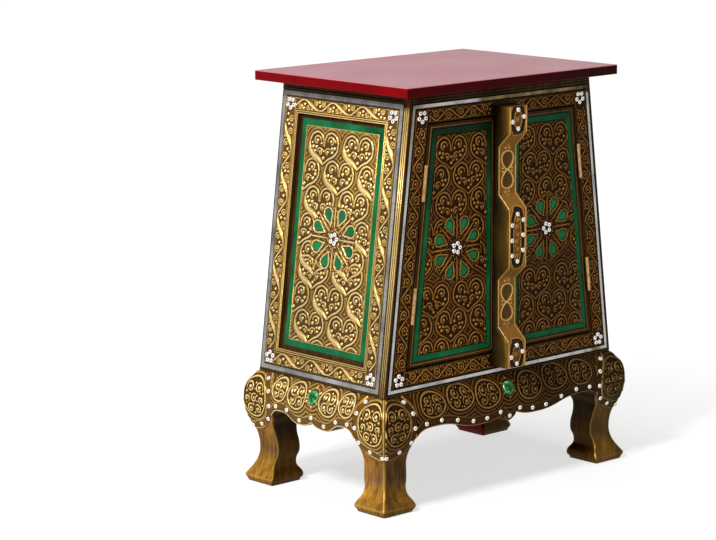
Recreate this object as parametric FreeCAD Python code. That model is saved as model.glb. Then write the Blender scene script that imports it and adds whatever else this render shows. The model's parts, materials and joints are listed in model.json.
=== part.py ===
import FreeCAD, Part

import math
import os

# Nightstand with gilded carved boards, glass inlay and two doors.
# Millimetres. The origin is on the floor under the middle, +Z is up and the doors face -Y.
# Left and right are as seen from in front of the doors.

V = FreeCAD.Vector
UP = V(0, 0, 1)

# Overall sizes
TOTAL_H = 600.0
SLAB_T = 14.0
SLAB_SIDE_LAP = 32.7
SLAB_FRONT_LAP = 27.0
SLAB_EDGE_R = 1.2
BASE_H = 166.0
BODY_TOP_W = 358.6
BODY_BOTTOM_W = 463.0
BODY_D = 265.0

# Front frame
FRAME_T = 10.0
STILE_W = 36.5
TOP_RAIL_H = 42.0
BOTTOM_RAIL_H = 33.5
TENON_L = 8.0
TENON_T = 4.0
TENON_SHOULDER = 9.0

# Side frames and their recessed panels
SIDE_T = 16.0
SIDE_STILE_W = 36.5
SIDE_TOP_RAIL_H = 45.0
SIDE_BOTTOM_RAIL_H = 37.0
PANEL_RECESS = 6.5
PANEL_T = 6.0
PANEL_TONGUE = 6.0

# Boards inside the body
BACK_T = 8.0
BOTTOM_T = 12.0
SHELF_T = 12.0
SHELF_RISE = 206.0
SHELF_SETBACK = 8.0
CLEAT_H = 18.0
CLEAT_T = 16.0
CLEAT_INSET = 12.0
STOP_T = 12.0
STOP_LIP = 9.0
STOP_GAP = 0.4
STOP_H = 30.0
STOP_END_GAP = 20.0

# Doors
DOOR_T = 15.0
DOOR_TOP_GAP = 2.5
DOOR_BOTTOM_GAP = 3.0
HINGE_GAP = 2.0
MEETING_GAP = 2.0

# Centre bar on the right door
BAR_W = 39.0
BAR_HIGH = 30.0
BAR_LOW = 9.0
BAR_END_L = 37.5
BAR_MIDDLE_L = 82.0
BAR_RAMP_L = 20.5
BAR_TOP_LAP = 14.0
BAR_BOTTOM_LAP = 18.5
BAR_RAIL_GAP = 0.8
BAR_BEVEL = 1.8

# Butt hinges, two on each door
HINGE_L = 50.0
HINGE_TOP_DROP = 80.5
HINGE_BOTTOM_RISE = 87.5
HINGE_OUT = 3.0
BARREL_R = 2.8
PIN_R = 1.45
PIN_CLEARANCE = 0.05
PIN_HEAD_R = 2.4
PIN_HEAD_H = 1.0
LEAF_T = 0.8
LEAF_W = 8.0
LEAF_SETBACK = 0.3
END_KNUCKLE_L = 15.0
KNUCKLE_GAP = 0.3
LEAF_SCREW_R = 1.2
LEAF_SCREW_L = 9.0

# Legs: out and in are from the edges of the body's underside, and drops are from its height
KNEE_OUT = 17.8
KNEE_DROP = 40.0
ANKLE_OUT = 1.5
ANKLE_Z = 50.0
FOOT_OUT = 17.5
FOOT_EDGE_H = 9.0
FOOT_TUCK = 4.0
LEG_IN = 45.0
LEG_BLOCK_DROP = 54.0
CALF_IN = 37.5
CALF_DROP = 84.0
ANKLE_IN = 40.5
HEEL_IN = 36.5
HEEL_Z = 29.0
FOOT_IN = 44.0

# Aprons between the legs, with their heights as drops from the body's underside
APRON_T = 18.0
APRON_TENON_L = 10.0
APRON_TENON_SIDE = 5.0
APRON_TENON_DROP = 6.0
APRON_TENON_H = 32.0
JOIN_DROP = 60.0
ARCH_DROP = 49.0
LOBE_DROP = 62.0
CUSP_DROP = 54.0
PENDANT_DROP = 66.0
FRONT_ARCH_IN = 38.0
FRONT_LOBE_X = 58.0
FRONT_CUSP_X = 13.0
SIDE_ARCH_IN = 24.0
SIDE_LOBE_Y = 27.0

# How full the curves of the base are: where each handle lies, as a share of its curve's span
SHOULDER_HANDLES = (0.25, 0.4)
SHIN_HANDLES = (0.55, 0.85)
FOOT_LEAN = 0.9
ARCH_HANDLES = (0.25, 0.6)
CUSP_HANDLES = (0.5, 0.8)
CUSP_LEAN = 0.35
PENDANT_HANDLES = (0.25, 0.6)
PENDANT_LEAN = 0.7

# Mirror strips on the frames
MIRROR_W = 8.0
MIRROR_T = 1.6
MIRROR_SEAT = 0.8
MIRROR_INSET = 3.5
MIRROR_TOP_DROP = 13.5
MIRROR_JOINT = 0.4
MIRROR_COUNT = 3

# Green glass borders and petals
GLASS_W = 10.0
GLASS_T = 2.2
GLASS_SEAT = 1.4
GLASS_HINGE_MARGIN = 8.0
GLASS_END_MARGIN = 6.5
GLASS_BAR_MARGIN = 4.0
GLASS_SIDE_MARGIN = 6.0
GLASS_JOINT = 0.3
# Heights of the flowers above the body's underside
LEFT_FLOWER_RISE = 196.5
RIGHT_FLOWER_RISE = 203.5
SIDE_FLOWER_RISE = 205.5
PETALS = 8
PETAL_R = 34.0
PETAL_L = 21.0
PETAL_W = 13.5

# Carved ridges on the doors and the side panels: hearts in staggered columns, clear of the flowers.
# Half a heart is given as (across, up) from the top of its axis.
HEART = ((1.0, -19.5), (1.8, -11.0), (6.0, -3.4), (15.0, 0.0), (25.0, -4.6), (30.0, -15.0), (28.6, -25.0),
         (21.0, -33.0), (9.5, -39.0), (0.0, -46.0))
RIDGE_W = 1.6
RIDGE_H = 1.2
RIDGE_ROOT = 0.5
FIELD_MARGIN = 1.0
FLOWER_CLEAR_R = 47.0
FLOWER_SHARE = 20.0
DOOR_HEART_X = 35.0
DOOR_HEART_STEP = 34.25
DOOR_HEART_COLUMNS = 5
DOOR_HEART_DROP = 19.7
DOOR_HEART_RISE = 72.5
DOOR_HEART_PITCH = 77.3
SIDE_HEART_STEP = 36.0
SIDE_HEART_COLUMNS = 2
SIDE_HEART_DROP = 22.2
SIDE_HEART_RISE = 61.5
SIDE_HEART_PITCH = 78.8

# Pierced white beads
BEAD_R = 3.5
BEAD_H = 2.6
BEAD_LIFT = 0.3
CLUSTER_BEADS = 5
CLUSTER_R = 6.6
FRAME_CLUSTER_IN = 24.0
SIDE_CLUSTER_IN = 20.5
CLUSTER_TOP_DROP = 32.0
CLUSTER_BOTTOM_RISE = 22.0
# Angle of the first bead in the clusters at the top, at the bottom and on the flowers
TOP_TURN = 270.0
BOTTOM_TURN = 90.0
FLOWER_TURN = 0.0
BAR_BEAD_X = 11.4
BAR_END_BEAD_Z = 13.5
BAR_MIDDLE_BEAD_Z = 34.0
BAR_BEAD_STEP = 22.0
BAR_BEAD_STAGGER = 3.0
APRON_BEAD_RISE = 7.5
FRONT_BEADS_X = (0.0, 20.0, 47.0, 75.0, 107.0, 139.0, 168.0)
SIDE_BEADS_Y = (0.0, 26.0, 52.0, 76.0)
# Bead places round each knee: inward from the body's edge, and drop
KNEE_BEADS = ((29.0, 8.0), (38.5, 24.0), (41.0, 45.0), (36.0, 65.0), (17.0, 76.0), (-5.0, 82.0))

# Faceted gems at the middle of the aprons
GEM_R = 10.5
GEM_TOP_R = 6.2
GEM_H = 3.5
GEM_SIDES = 8
GEM_DROP = 18.0

# Screws through the cleats into the slab, and through the bottom board into the legs
SCREW_R = 2.0
SCREW_HEAD_R = 4.0
SCREW_HEAD_H = 2.4
SLAB_SCREW_BITE = 9.0
LEG_SCREW_BITE = 22.0
LEG_SCREW_IN = 27.0
SLAB_SCREW_INSET = 30.0

# Worked out from the sizes above
BODY_TOP_Z = TOTAL_H - SLAB_T
SLAB_W = BODY_TOP_W + 2 * SLAB_SIDE_LAP
SLAB_D = BODY_D + 2 * SLAB_FRONT_LAP
FRONT_Y = -BODY_D / 2
BACK_Y = BODY_D / 2
SLOPE = (BODY_BOTTOM_W - BODY_TOP_W) / 2 / (BODY_TOP_Z - BASE_H)
TILT = math.atan(SLOPE)
COS = math.cos(TILT)
SIN = math.sin(TILT)
TOP_RAIL_Z = BODY_TOP_Z - TOP_RAIL_H
BOTTOM_RAIL_Z = BASE_H + BOTTOM_RAIL_H
DOOR_TOP_Z = TOP_RAIL_Z - DOOR_TOP_GAP
DOOR_BOTTOM_Z = BOTTOM_RAIL_Z + DOOR_BOTTOM_GAP
SIDE_FRONT_Y = FRONT_Y + FRAME_T
SIDE_MIDDLE_Y = (SIDE_FRONT_Y + BACK_Y) / 2
SIDE_HALF_D = (BACK_Y - SIDE_FRONT_Y) / 2
OPENING_HALF_D = SIDE_HALF_D - SIDE_STILE_W
OPENING_LOW = SIDE_BOTTOM_RAIL_H / COS
OPENING_HIGH = (BODY_TOP_Z - SIDE_TOP_RAIL_H - BASE_H) / COS
DOOR_BACK_Y = FRONT_Y + DOOR_T
INNER_BACK_Y = BACK_Y - BACK_T
BAR_X = BAR_W / 2
LEG_X = BODY_BOTTOM_W / 2 - LEG_IN
LEG_Y = BODY_D / 2 - LEG_IN
SHELF_TOP_Z = BASE_H + SHELF_RISE
HINGE_HEIGHTS = (DOOR_BOTTOM_Z + HINGE_BOTTOM_RISE, DOOR_TOP_Z - HINGE_TOP_DROP)
KNEE_Z = BASE_H - KNEE_DROP
LEG_BLOCK_Z = BASE_H - LEG_BLOCK_DROP
CALF_Z = BASE_H - CALF_DROP
JOIN_Z = BASE_H - JOIN_DROP
ARCH_Z = BASE_H - ARCH_DROP
LOBE_Z = BASE_H - LOBE_DROP
CUSP_Z = BASE_H - CUSP_DROP
PENDANT_Z = BASE_H - PENDANT_DROP
GEM_Z = BASE_H - GEM_DROP
SIDE_FLOWER_V = SIDE_FLOWER_RISE / COS
# Heights of the clusters on the frames, each with the angle of its first bead
CLUSTERS = ((BASE_H + CLUSTER_BOTTOM_RISE, BOTTOM_TURN), (BODY_TOP_Z - CLUSTER_TOP_DROP, TOP_TURN))

# Drawing planes: u and v lie in the face, and w points out of it
FRONT = FreeCAD.Placement(FreeCAD.Matrix(1, 0, 0, 0, 0, 0, -1, FRONT_Y, 0, 1, 0, 0, 0, 0, 0, 1))
LEFT = FreeCAD.Placement(FreeCAD.Matrix(
    0, SIN, -COS, -BODY_BOTTOM_W / 2,
    -1, 0, 0, SIDE_MIDDLE_Y,
    0, COS, SIN, BASE_H,
    0, 0, 0, 1))


def half_width(z):
    """Half the body's width at height z."""
    return BODY_BOTTOM_W / 2 - SLOPE * (z - BASE_H)


def inner_half_width(z):
    """Half the clear width between the side frames at height z."""
    return half_width(z) - SIDE_T / COS


def door_half_width(z):
    """Distance from the middle to a door's hinge edge at height z."""
    return half_width(z) - STILE_W - HINGE_GAP


def up_slope(z):
    """Distance up the sloping side to height z."""
    return (z - BASE_H) / COS


def mirrored(shape):
    """The same piece on the other side of the body."""
    return shape.mirror(V(0, 0, 0), V(1, 0, 0))


def both_sides(shapes):
    return shapes + [mirrored(shape) for shape in shapes]


def cut(shape, tools):
    """The shape without the room that the tools take, as one solid."""
    return shape.cut(Part.makeCompound(tools)).Solids[0]


def joined(shapes):
    return shapes[0].fuse(shapes[1:]).removeSplitter().Solids[0]


def outline_face(points):
    return Part.Face(Part.makePolygon(points + points[:1]))


def prism(points, front, back):
    """A solid drawn in the front view as (x, z) corners, from y = front to y = back."""
    return outline_face([V(x, front, z) for x, z in points]).extrude(V(0, back - front, 0))


def block(x0, x1, y0, y1, z0, z1):
    return Part.makeBox(x1 - x0, y1 - y0, z1 - z0, V(x0, y0, z0))


def plate(points, low, high, plane):
    """A flat solid on a drawing plane, between two heights above it."""
    solid = outline_face([V(u, v, low) for u, v in points]).extrude(V(0, 0, high - low))
    solid.Placement = plane
    return solid


def rectangle(u0, u1, v0, v1):
    return [(u0, v0), (u1, v0), (u1, v1), (u0, v1)]


def split_bar(start, end, count, gap):
    """Where each of several equal lengths begins and ends, with a gap between neighbours."""
    step = (end - start) / count
    return [(start + i * step + gap / 2, start + (i + 1) * step - gap / 2) for i in range(count)]


def moved_towards(start, end, distance):
    share = distance / math.dist(start, end)
    return start[0] + (end[0] - start[0]) * share, start[1] + (end[1] - start[1]) * share


def border(outer, inner):
    """Four mitred strips between two four-cornered outlines, with a thin joint at each corner."""
    strips = []
    for i in range(4):
        j = (i + 1) % 4
        strip = []
        for a, b in ((outer[i], outer[j]), (outer[j], outer[i]), (inner[j], inner[i]), (inner[i], inner[j])):
            strip.append(moved_towards(a, b, GLASS_JOINT))
        strips.append(strip)
    return strips


def dome(radius, height):
    """A low round cap on the plane z = 0."""
    ball = (radius ** 2 + height ** 2) / (2 * height)
    rim = math.degrees(math.asin((ball - height) / ball))
    return Part.makeSphere(ball, V(0, 0, height - ball), UP, rim, 90, 360)


def on_plane(shape, u, v, w, plane):
    placed = shape.copy()
    placed.Placement = plane.multiply(FreeCAD.Placement(V(u, v, w), FreeCAD.Rotation()))
    return placed


def on_surface(shape, point, normal):
    """The piece with its base at a point of a curved face, a glue line away from it."""
    placed = shape.copy()
    lift = normal.normalize() * BEAD_LIFT
    placed.Placement = FreeCAD.Placement(point + lift, FreeCAD.Rotation(UP, normal))
    return placed


def cluster(u, v, w, plane, turn):
    """A ring of beads round (u, v), the first at an angle from the u direction."""
    beads = []
    for i in range(CLUSTER_BEADS):
        angle = math.radians(turn + i * 360 / CLUSTER_BEADS)
        beads.append(on_plane(dome(BEAD_R, BEAD_H), u + CLUSTER_R * math.cos(angle),
                              v + CLUSTER_R * math.sin(angle), w, plane))
    return beads


# Curves of the base


def bezier_point(poles, t):
    while len(poles) > 1:
        poles = [(a[0] + (b[0] - a[0]) * t, a[1] + (b[1] - a[1]) * t)
                 for a, b in zip(poles, poles[1:])]
    return poles[0]


def bezier_edge(poles, place):
    curve = Part.BezierCurve()
    curve.setPoles([place(*pole) for pole in poles])
    return curve.toShape()


def upright_curve(start, end):
    """An S between two points, upright at both."""
    middle = (start[1] + end[1]) / 2
    return [start, (start[0], middle), (end[0], middle), end]


def level_curve(start, end):
    """An S between two points, level at both."""
    middle = (start[0] + end[0]) / 2
    return [start, (middle, start[1]), (middle, end[1]), end]


def outer_curves():
    """The base's outward profile as (distance out, height), from the body down to the foot."""
    shoulder = BASE_H - KNEE_Z
    shin = ANKLE_Z - FOOT_EDGE_H
    return [
        [(0, BASE_H), (KNEE_OUT / 2, BASE_H - shoulder * SHOULDER_HANDLES[0]),
         (KNEE_OUT, BASE_H - shoulder * SHOULDER_HANDLES[1]), (KNEE_OUT, KNEE_Z)],
        upright_curve((KNEE_OUT, KNEE_Z), (ANKLE_OUT, ANKLE_Z)),
        [(ANKLE_OUT, ANKLE_Z), (ANKLE_OUT, ANKLE_Z - shin * SHIN_HANDLES[0]),
         (FOOT_OUT * FOOT_LEAN, ANKLE_Z - shin * SHIN_HANDLES[1]), (FOOT_OUT, FOOT_EDGE_H)],
    ]


def inner_curves():
    """The leg's inward profile as (distance out, height), from the foot up to the block."""
    stations = [(-FOOT_IN, FOOT_EDGE_H), (-HEEL_IN, HEEL_Z), (-ANKLE_IN, ANKLE_Z),
                (-CALF_IN, CALF_Z), (-LEG_IN, LEG_BLOCK_Z)]
    return [upright_curve(a, b) for a, b in zip(stations, stations[1:])]


def bulge(z):
    """How far the base stands out at height z, and how fast that changes with height."""
    poles = next(c for c in outer_curves() if c[-1][1] <= z)
    low, high = 0.0, 1.0
    for _ in range(40):
        t = (low + high) / 2
        if bezier_point(poles, t)[1] > z:
            low = t
        else:
            high = t
    step = 1e-4
    before = bezier_point(poles, t - step)
    after = bezier_point(poles, t + step)
    return bezier_point(poles, t)[0], (after[0] - before[0]) / (after[1] - before[1])


def edge_curves(half, arch_in, lobe, cusp, pendant):
    """The apron's lower edge as (distance along, height), from the leg to the middle."""
    arch = half - arch_in
    dip = lobe - cusp
    rise = CUSP_Z - LOBE_Z
    curves = [
        [(half, JOIN_Z), (half - arch_in * ARCH_HANDLES[0], ARCH_Z),
         (half - arch_in * ARCH_HANDLES[1], ARCH_Z), (arch, ARCH_Z)],
        level_curve((arch, ARCH_Z), (lobe, LOBE_Z)),
        [(lobe, LOBE_Z), (lobe - dip * CUSP_HANDLES[0], LOBE_Z),
         (lobe - dip * CUSP_HANDLES[1], LOBE_Z + rise * CUSP_LEAN), (cusp, CUSP_Z)],
    ]
    if pendant:
        drop = CUSP_Z - PENDANT_Z
        curves.append([(cusp, CUSP_Z), (cusp - cusp * PENDANT_HANDLES[0], CUSP_Z - drop * PENDANT_LEAN),
                       (cusp - cusp * PENDANT_HANDLES[1], PENDANT_Z), (0, PENDANT_Z)])
    return curves


def edge_height(curves, along):
    """Height of an apron's lower edge at a distance from its middle."""
    poles = next(c for c in curves if c[-1][0] <= along)
    low, high = 0.0, 1.0
    for _ in range(40):
        t = (low + high) / 2
        if bezier_point(poles, t)[0] > along:
            low = t
        else:
            high = t
    return bezier_point(poles, t)[1]


FRONT_EDGE = edge_curves(LEG_X, FRONT_ARCH_IN, FRONT_LOBE_X, FRONT_CUSP_X, True)
SIDE_EDGE = edge_curves(LEG_Y, SIDE_ARCH_IN, SIDE_LOBE_Y, 0.0, False)


def leg_wire(place):
    """A leg's outline, drawn by a function that turns (distance out, height) into a point."""
    outer = [bezier_edge(c, place) for c in outer_curves()]
    inner = [bezier_edge(c, place) for c in inner_curves()]
    corners = [(FOOT_OUT, FOOT_EDGE_H), (FOOT_OUT - FOOT_TUCK, 0), (FOOT_TUCK - FOOT_IN, 0),
               (-FOOT_IN, FOOT_EDGE_H)]
    foot = [Part.LineSegment(place(*a), place(*b)).toShape() for a, b in zip(corners, corners[1:])]
    ends = [(-LEG_IN, LEG_BLOCK_Z), (-LEG_IN, BASE_H), (0, BASE_H)]
    head = [Part.LineSegment(place(*a), place(*b)).toShape() for a, b in zip(ends, ends[1:])]
    return Part.Wire(outer + foot + inner + head)


def front_left_leg():
    """A leg is what two crossing profiles have in common, so all four faces are shaped."""
    reach = LEG_IN + KNEE_OUT + FOOT_OUT
    side_x = -BODY_BOTTOM_W / 2
    across = Part.Face(leg_wire(lambda d, z: V(side_x - d, FRONT_Y - reach, z)))
    along = Part.Face(leg_wire(lambda d, z: V(side_x - reach, FRONT_Y - d, z)))
    return across.extrude(V(0, 2 * reach, 0)).common(along.extrude(V(2 * reach, 0, 0))).Solids[0]


def apron(reach, half, curves):
    """An apron along X whose outer face bulges forward, with a scalloped lower edge and tenons."""
    def place(d, z):
        return V(-half, -reach - d, z)

    back = [(ANKLE_OUT, ANKLE_Z), (-APRON_T, ANKLE_Z), (-APRON_T, BASE_H), (0, BASE_H)]
    section = [bezier_edge(c, place) for c in outer_curves()[:2]]
    section += [Part.LineSegment(place(*a), place(*b)).toShape() for a, b in zip(back, back[1:])]
    board = Part.Face(Part.Wire(section)).extrude(V(2 * half, 0, 0))

    lower = []
    for side in (-1, 1):
        lower += [bezier_edge(c, lambda s, z: V(side * s, -reach - KNEE_OUT, z)) for c in curves]
    top = [(-half, JOIN_Z), (-half, BASE_H), (half, BASE_H), (half, JOIN_Z)]
    upper = [Part.LineSegment(V(a[0], -reach - KNEE_OUT, a[1]), V(b[0], -reach - KNEE_OUT, b[1])).toShape()
             for a, b in zip(top, top[1:])]
    outline = Part.Face(Part.Wire(Part.sortEdges(lower + upper)[0]))
    board = board.common(outline.extrude(V(0, KNEE_OUT + APRON_T, 0))).Solids[0]

    tenon_top = BASE_H - APRON_TENON_DROP
    tenon = block(-half - APRON_TENON_L, half + APRON_TENON_L,
                  -reach + APRON_TENON_SIDE, -reach + APRON_T - APRON_TENON_SIDE,
                  tenon_top - APRON_TENON_H, tenon_top)
    return joined([board, tenon])


def turned(shape, degrees):
    """The piece turned about the upright middle line of the body."""
    copy = shape.copy()
    copy.rotate(V(0, 0, 0), UP, degrees)
    return copy


def apron_beads(reach, edge, places):
    """Beads along an apron that faces -Y, a little above its lower edge."""
    beads = []
    for place in places:
        z = edge_height(edge, place) + APRON_BEAD_RISE
        out, change = bulge(z)
        for x in sorted({-place, place}):
            beads.append(on_surface(dome(BEAD_R, BEAD_H), V(x, -reach - out, z), V(0, -1, -change)))
    return beads


def knee_beads(reach, half):
    """Beads round the right-hand knee on a face that looks along -Y."""
    beads = []
    for inward, drop in KNEE_BEADS:
        z = BASE_H - drop
        out, change = bulge(z)
        beads.append(on_surface(dome(BEAD_R, BEAD_H), V(half - inward, -reach - out, z), V(0, -1, -change)))
    return beads


def gem(reach):
    """A faceted stone on the middle of an apron that faces -Y."""
    out, change = bulge(GEM_Z)
    rings = []
    for radius, height in ((GEM_R, 0), (GEM_TOP_R, GEM_H)):
        turns = [2 * math.pi * i / GEM_SIDES for i in range(GEM_SIDES)]
        corners = [V(radius * math.cos(t), radius * math.sin(t), height) for t in turns]
        rings.append(Part.makePolygon(corners + corners[:1]))
    stone = Part.makeLoft(rings, True, True)
    return on_surface(stone, V(0, -reach - out, GEM_Z), V(0, -1, -change))


def base():
    """Legs, aprons and what is set into them."""
    body_x = BODY_BOTTOM_W / 2
    body_y = BODY_D / 2
    front = apron(body_y, LEG_X, FRONT_EDGE)
    left = turned(apron(body_x, LEG_Y, SIDE_EDGE), -90)
    aprons = {"front_apron": front, "left_apron": left,
              "back_apron": turned(front, 180), "right_apron": mirrored(left)}
    screws = leg_screws()
    tools = list(aprons.values()) + screws
    leg = front_left_leg()
    legs = {"front_left_leg": leg, "front_right_leg": mirrored(leg)}
    legs["back_left_leg"] = turned(legs["front_right_leg"], 180)
    legs["back_right_leg"] = turned(leg, 180)

    nodes = dict(aprons)
    for name, shape in legs.items():
        nodes[name] = cut(shape, tools)

    beads = apron_beads(body_y, FRONT_EDGE, FRONT_BEADS_X) + both_sides(knee_beads(body_y, body_x))
    flank = apron_beads(body_x, SIDE_EDGE, SIDE_BEADS_Y) + both_sides(knee_beads(body_x, body_y))
    beads += both_sides([turned(bead, -90) for bead in flank])
    nodes["base_beads"] = beads
    nodes["apron_gems"] = [gem(body_y)] + both_sides([turned(gem(body_x), -90)])
    return nodes


def screw(bite):
    """A countersunk screw that points down from the plane z = 0, with its head flush there."""
    head = Part.makeCone(SCREW_R, SCREW_HEAD_R, SCREW_HEAD_H, V(0, 0, -SCREW_HEAD_H))
    shank = Part.makeCylinder(SCREW_R, bite, V(0, 0, -bite))
    return joined([head, shank])


def leg_screws():
    """Screws through the bottom board into the four legs."""
    screws = []
    for x in (-1, 1):
        for y in (-1, 1):
            one = screw(BOTTOM_T + LEG_SCREW_BITE)
            one.translate(V(x * (BODY_BOTTOM_W / 2 - LEG_SCREW_IN), y * (BODY_D / 2 - LEG_SCREW_IN),
                            BASE_H + BOTTOM_T))
            screws.append(one)
    return screws


def slab_screws():
    """Screws up through the top cleats into the slab."""
    screws = []
    low = BODY_TOP_Z - CLEAT_H
    x = inner_half_width(BODY_TOP_Z) - CLEAT_T / 2
    for side in (-1, 1):
        for y in (SIDE_FRONT_Y + CLEAT_INSET + SLAB_SCREW_INSET, INNER_BACK_Y - SLAB_SCREW_INSET):
            one = screw(CLEAT_H + SLAB_SCREW_BITE)
            one.rotate(V(0, 0, 0), V(1, 0, 0), 180)
            one.translate(V(side * x, y, low))
            screws.append(one)
    return screws


def left_cleat(low, high):
    """A batten along the inside of the left side frame, with a sloping outer face."""
    inner_x = -inner_half_width(high) + CLEAT_T
    outer = [(-inner_half_width(low), low), (-inner_half_width(high), high)]
    corners = outer + [(inner_x, high), (inner_x, low)]
    return prism(corners, SIDE_FRONT_Y + CLEAT_INSET, INNER_BACK_Y)


def between_sides(low, high, front, back):
    """A board that fits between the two side frames."""
    low_x, high_x = inner_half_width(low), inner_half_width(high)
    return prism([(-low_x, low), (low_x, low), (high_x, high), (-high_x, high)], front, back)


def door_stop():
    """A rebated strip behind the top rail, which the closed doors rest against."""
    back = DOOR_BACK_Y + STOP_GAP + STOP_T
    high = TOP_RAIL_Z + STOP_H
    low = TOP_RAIL_Z - DOOR_TOP_GAP - STOP_LIP
    x = inner_half_width(high) - STOP_END_GAP
    corners = [(SIDE_FRONT_Y, TOP_RAIL_Z), (DOOR_BACK_Y + STOP_GAP, TOP_RAIL_Z),
               (DOOR_BACK_Y + STOP_GAP, low), (back, low), (back, high), (SIDE_FRONT_Y, high)]
    return outline_face([V(-x, y, z) for y, z in corners]).extrude(V(2 * x, 0, 0))


def carcass():
    """The slab and the boards inside the body."""
    fixings = leg_screws() + slab_screws()
    slab = block(-SLAB_W / 2, SLAB_W / 2, -SLAB_D / 2, SLAB_D / 2, BODY_TOP_Z, TOTAL_H)
    slab = slab.makeFillet(SLAB_EDGE_R, slab.Edges)
    top_cleat = left_cleat(BODY_TOP_Z - CLEAT_H, BODY_TOP_Z)
    shelf_low = SHELF_TOP_Z - SHELF_T
    shelf_cleat = left_cleat(shelf_low - CLEAT_H, shelf_low)
    bottom = between_sides(BASE_H, BASE_H + BOTTOM_T, SIDE_FRONT_Y, INNER_BACK_Y)
    return {
        "top_slab": cut(slab, fixings),
        "back_panel": between_sides(BASE_H, BODY_TOP_Z, INNER_BACK_Y, BACK_Y),
        "bottom_board": cut(bottom, fixings),
        "shelf": between_sides(shelf_low, SHELF_TOP_Z, DOOR_BACK_Y + SHELF_SETBACK, INNER_BACK_Y),
        "left_top_cleat": cut(top_cleat, fixings),
        "right_top_cleat": cut(mirrored(top_cleat), fixings),
        "left_shelf_cleat": shelf_cleat,
        "right_shelf_cleat": mirrored(shelf_cleat),
        "door_stop": door_stop(),
        "carcass_screws": fixings,
    }


def front_mirrors():
    """Mirror strips along the four edges of the front frame, each in several lengths."""
    bottom = BASE_H + MIRROR_INSET
    top = BODY_TOP_Z - MIRROR_TOP_DROP
    strips = []
    for low in (bottom, top - MIRROR_W):
        x = half_width(low + MIRROR_W) - MIRROR_INSET
        for x0, x1 in split_bar(-x, x, MIRROR_COUNT, MIRROR_JOINT):
            strips.append(rectangle(x0, x1, low, low + MIRROR_W))
    for z0, z1 in split_bar(bottom + MIRROR_W, top - MIRROR_W, MIRROR_COUNT, MIRROR_JOINT):
        for side in (-1, 1):
            outer = [(side * (half_width(z) - MIRROR_INSET), z) for z in (z0, z1)]
            strips.append(outer + [(x - side * MIRROR_W, z) for x, z in reversed(outer)])
    return strips


def front_frame():
    """Two sloping stiles and two rails, tenoned together."""
    def stile_x(z):
        return half_width(z) - STILE_W

    def rail(low, high):
        tenon = (low + TENON_SHOULDER, high - TENON_SHOULDER)
        outlines = [((low, high), 0, 0, FRAME_T),
                    (tenon, TENON_L, (FRAME_T - TENON_T) / 2, (FRAME_T + TENON_T) / 2)]
        pieces = []
        for (z0, z1), extra, near, far in outlines:
            x0, x1 = stile_x(z0) + extra, stile_x(z1) + extra
            pieces.append(prism([(-x0, z0), (x0, z0), (x1, z1), (-x1, z1)], FRONT_Y + near, FRONT_Y + far))
        return joined(pieces)

    mirrors = [plate(s, -MIRROR_SEAT, MIRROR_T - MIRROR_SEAT, FRONT) for s in front_mirrors()]
    rails = [rail(BASE_H, BOTTOM_RAIL_Z), rail(TOP_RAIL_Z, BODY_TOP_Z)]
    ends = (BASE_H, BODY_TOP_Z)
    edge = [(-half_width(z), z) for z in ends] + [(-stile_x(z), z) for z in reversed(ends)]
    stile = prism(edge, FRONT_Y, SIDE_FRONT_Y)
    screws = frame_leaf_screws()
    return {
        "front_left_stile": cut(stile, rails + mirrors + screws),
        "front_right_stile": cut(mirrored(stile), rails + mirrors + screws),
        "front_bottom_rail": cut(rails[0], mirrors),
        "front_top_rail": cut(rails[1], mirrors),
        "front_mirror_strips": mirrors,
    }


def side_mirrors():
    """Mirror strips along the four edges of a side frame."""
    u = SIDE_HALF_D - MIRROR_INSET / 2
    bottom = up_slope(BASE_H + MIRROR_INSET)
    top = up_slope(BODY_TOP_Z - MIRROR_TOP_DROP)
    strips = []
    for low in (bottom, top - MIRROR_W):
        for u0, u1 in split_bar(-u, u, MIRROR_COUNT, MIRROR_JOINT):
            strips.append(rectangle(u0, u1, low, low + MIRROR_W))
    for v0, v1 in split_bar(bottom + MIRROR_W, top - MIRROR_W, MIRROR_COUNT, MIRROR_JOINT):
        strips.append(rectangle(-u, -u + MIRROR_W, v0, v1))
        strips.append(rectangle(u - MIRROR_W, u, v0, v1))
    return strips


def petal_outline(angle):
    """A teardrop with its point towards the flower's middle, as a face at the plane's origin."""
    round_r = PETAL_W / 2
    tip = PETAL_R - PETAL_L / 2
    middle = PETAL_R + PETAL_L / 2 - round_r
    lean = math.acos(round_r / (middle - tip))
    touch = [V(middle - round_r * math.cos(lean), side * round_r * math.sin(lean), 0) for side in (-1, 1)]
    arc = Part.Arc(touch[0], V(middle + round_r, 0, 0), touch[1]).toShape()
    point = V(tip, 0, 0)
    sides = [Part.LineSegment(point, touch[0]).toShape(), Part.LineSegment(touch[1], point).toShape()]
    face = Part.Face(Part.Wire([sides[0], arc, sides[1]]))
    face.rotate(V(0, 0, 0), UP, angle)
    return face


def petals(u, v, w, plane):
    """Glass petals round (u, v), seated in the face at height w."""
    shapes = []
    for i in range(PETALS):
        petal = petal_outline((i + 0.5) * 360 / PETALS).extrude(V(0, 0, GLASS_T))
        shapes.append(on_plane(petal, u, v, w - GLASS_SEAT, plane))
    return shapes


def ridge(points):
    """The outline of a band of even width along a line."""
    near, far = [], []
    for before, point, after in zip(points[:1] + points, points, points[1:] + points[-1:]):
        scale = RIDGE_W / 2 / math.dist(before, after)
        u, v = (before[1] - after[1]) * scale, (after[0] - before[0]) * scale
        near.append((point[0] + u, point[1] + v))
        far.append((point[0] - u, point[1] - v))
    return near + far[::-1]


def heart_rows(low, high, rise, drop, pitch, split):
    """Heights of the hearts in one column: some counted down from the top, the others up from the bottom."""
    tops = []
    top = high - drop
    while top > split:
        tops.append(top)
        top -= pitch
    top = low + rise
    while top <= split:
        tops.append(top)
        top += pitch
    return tops


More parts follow.
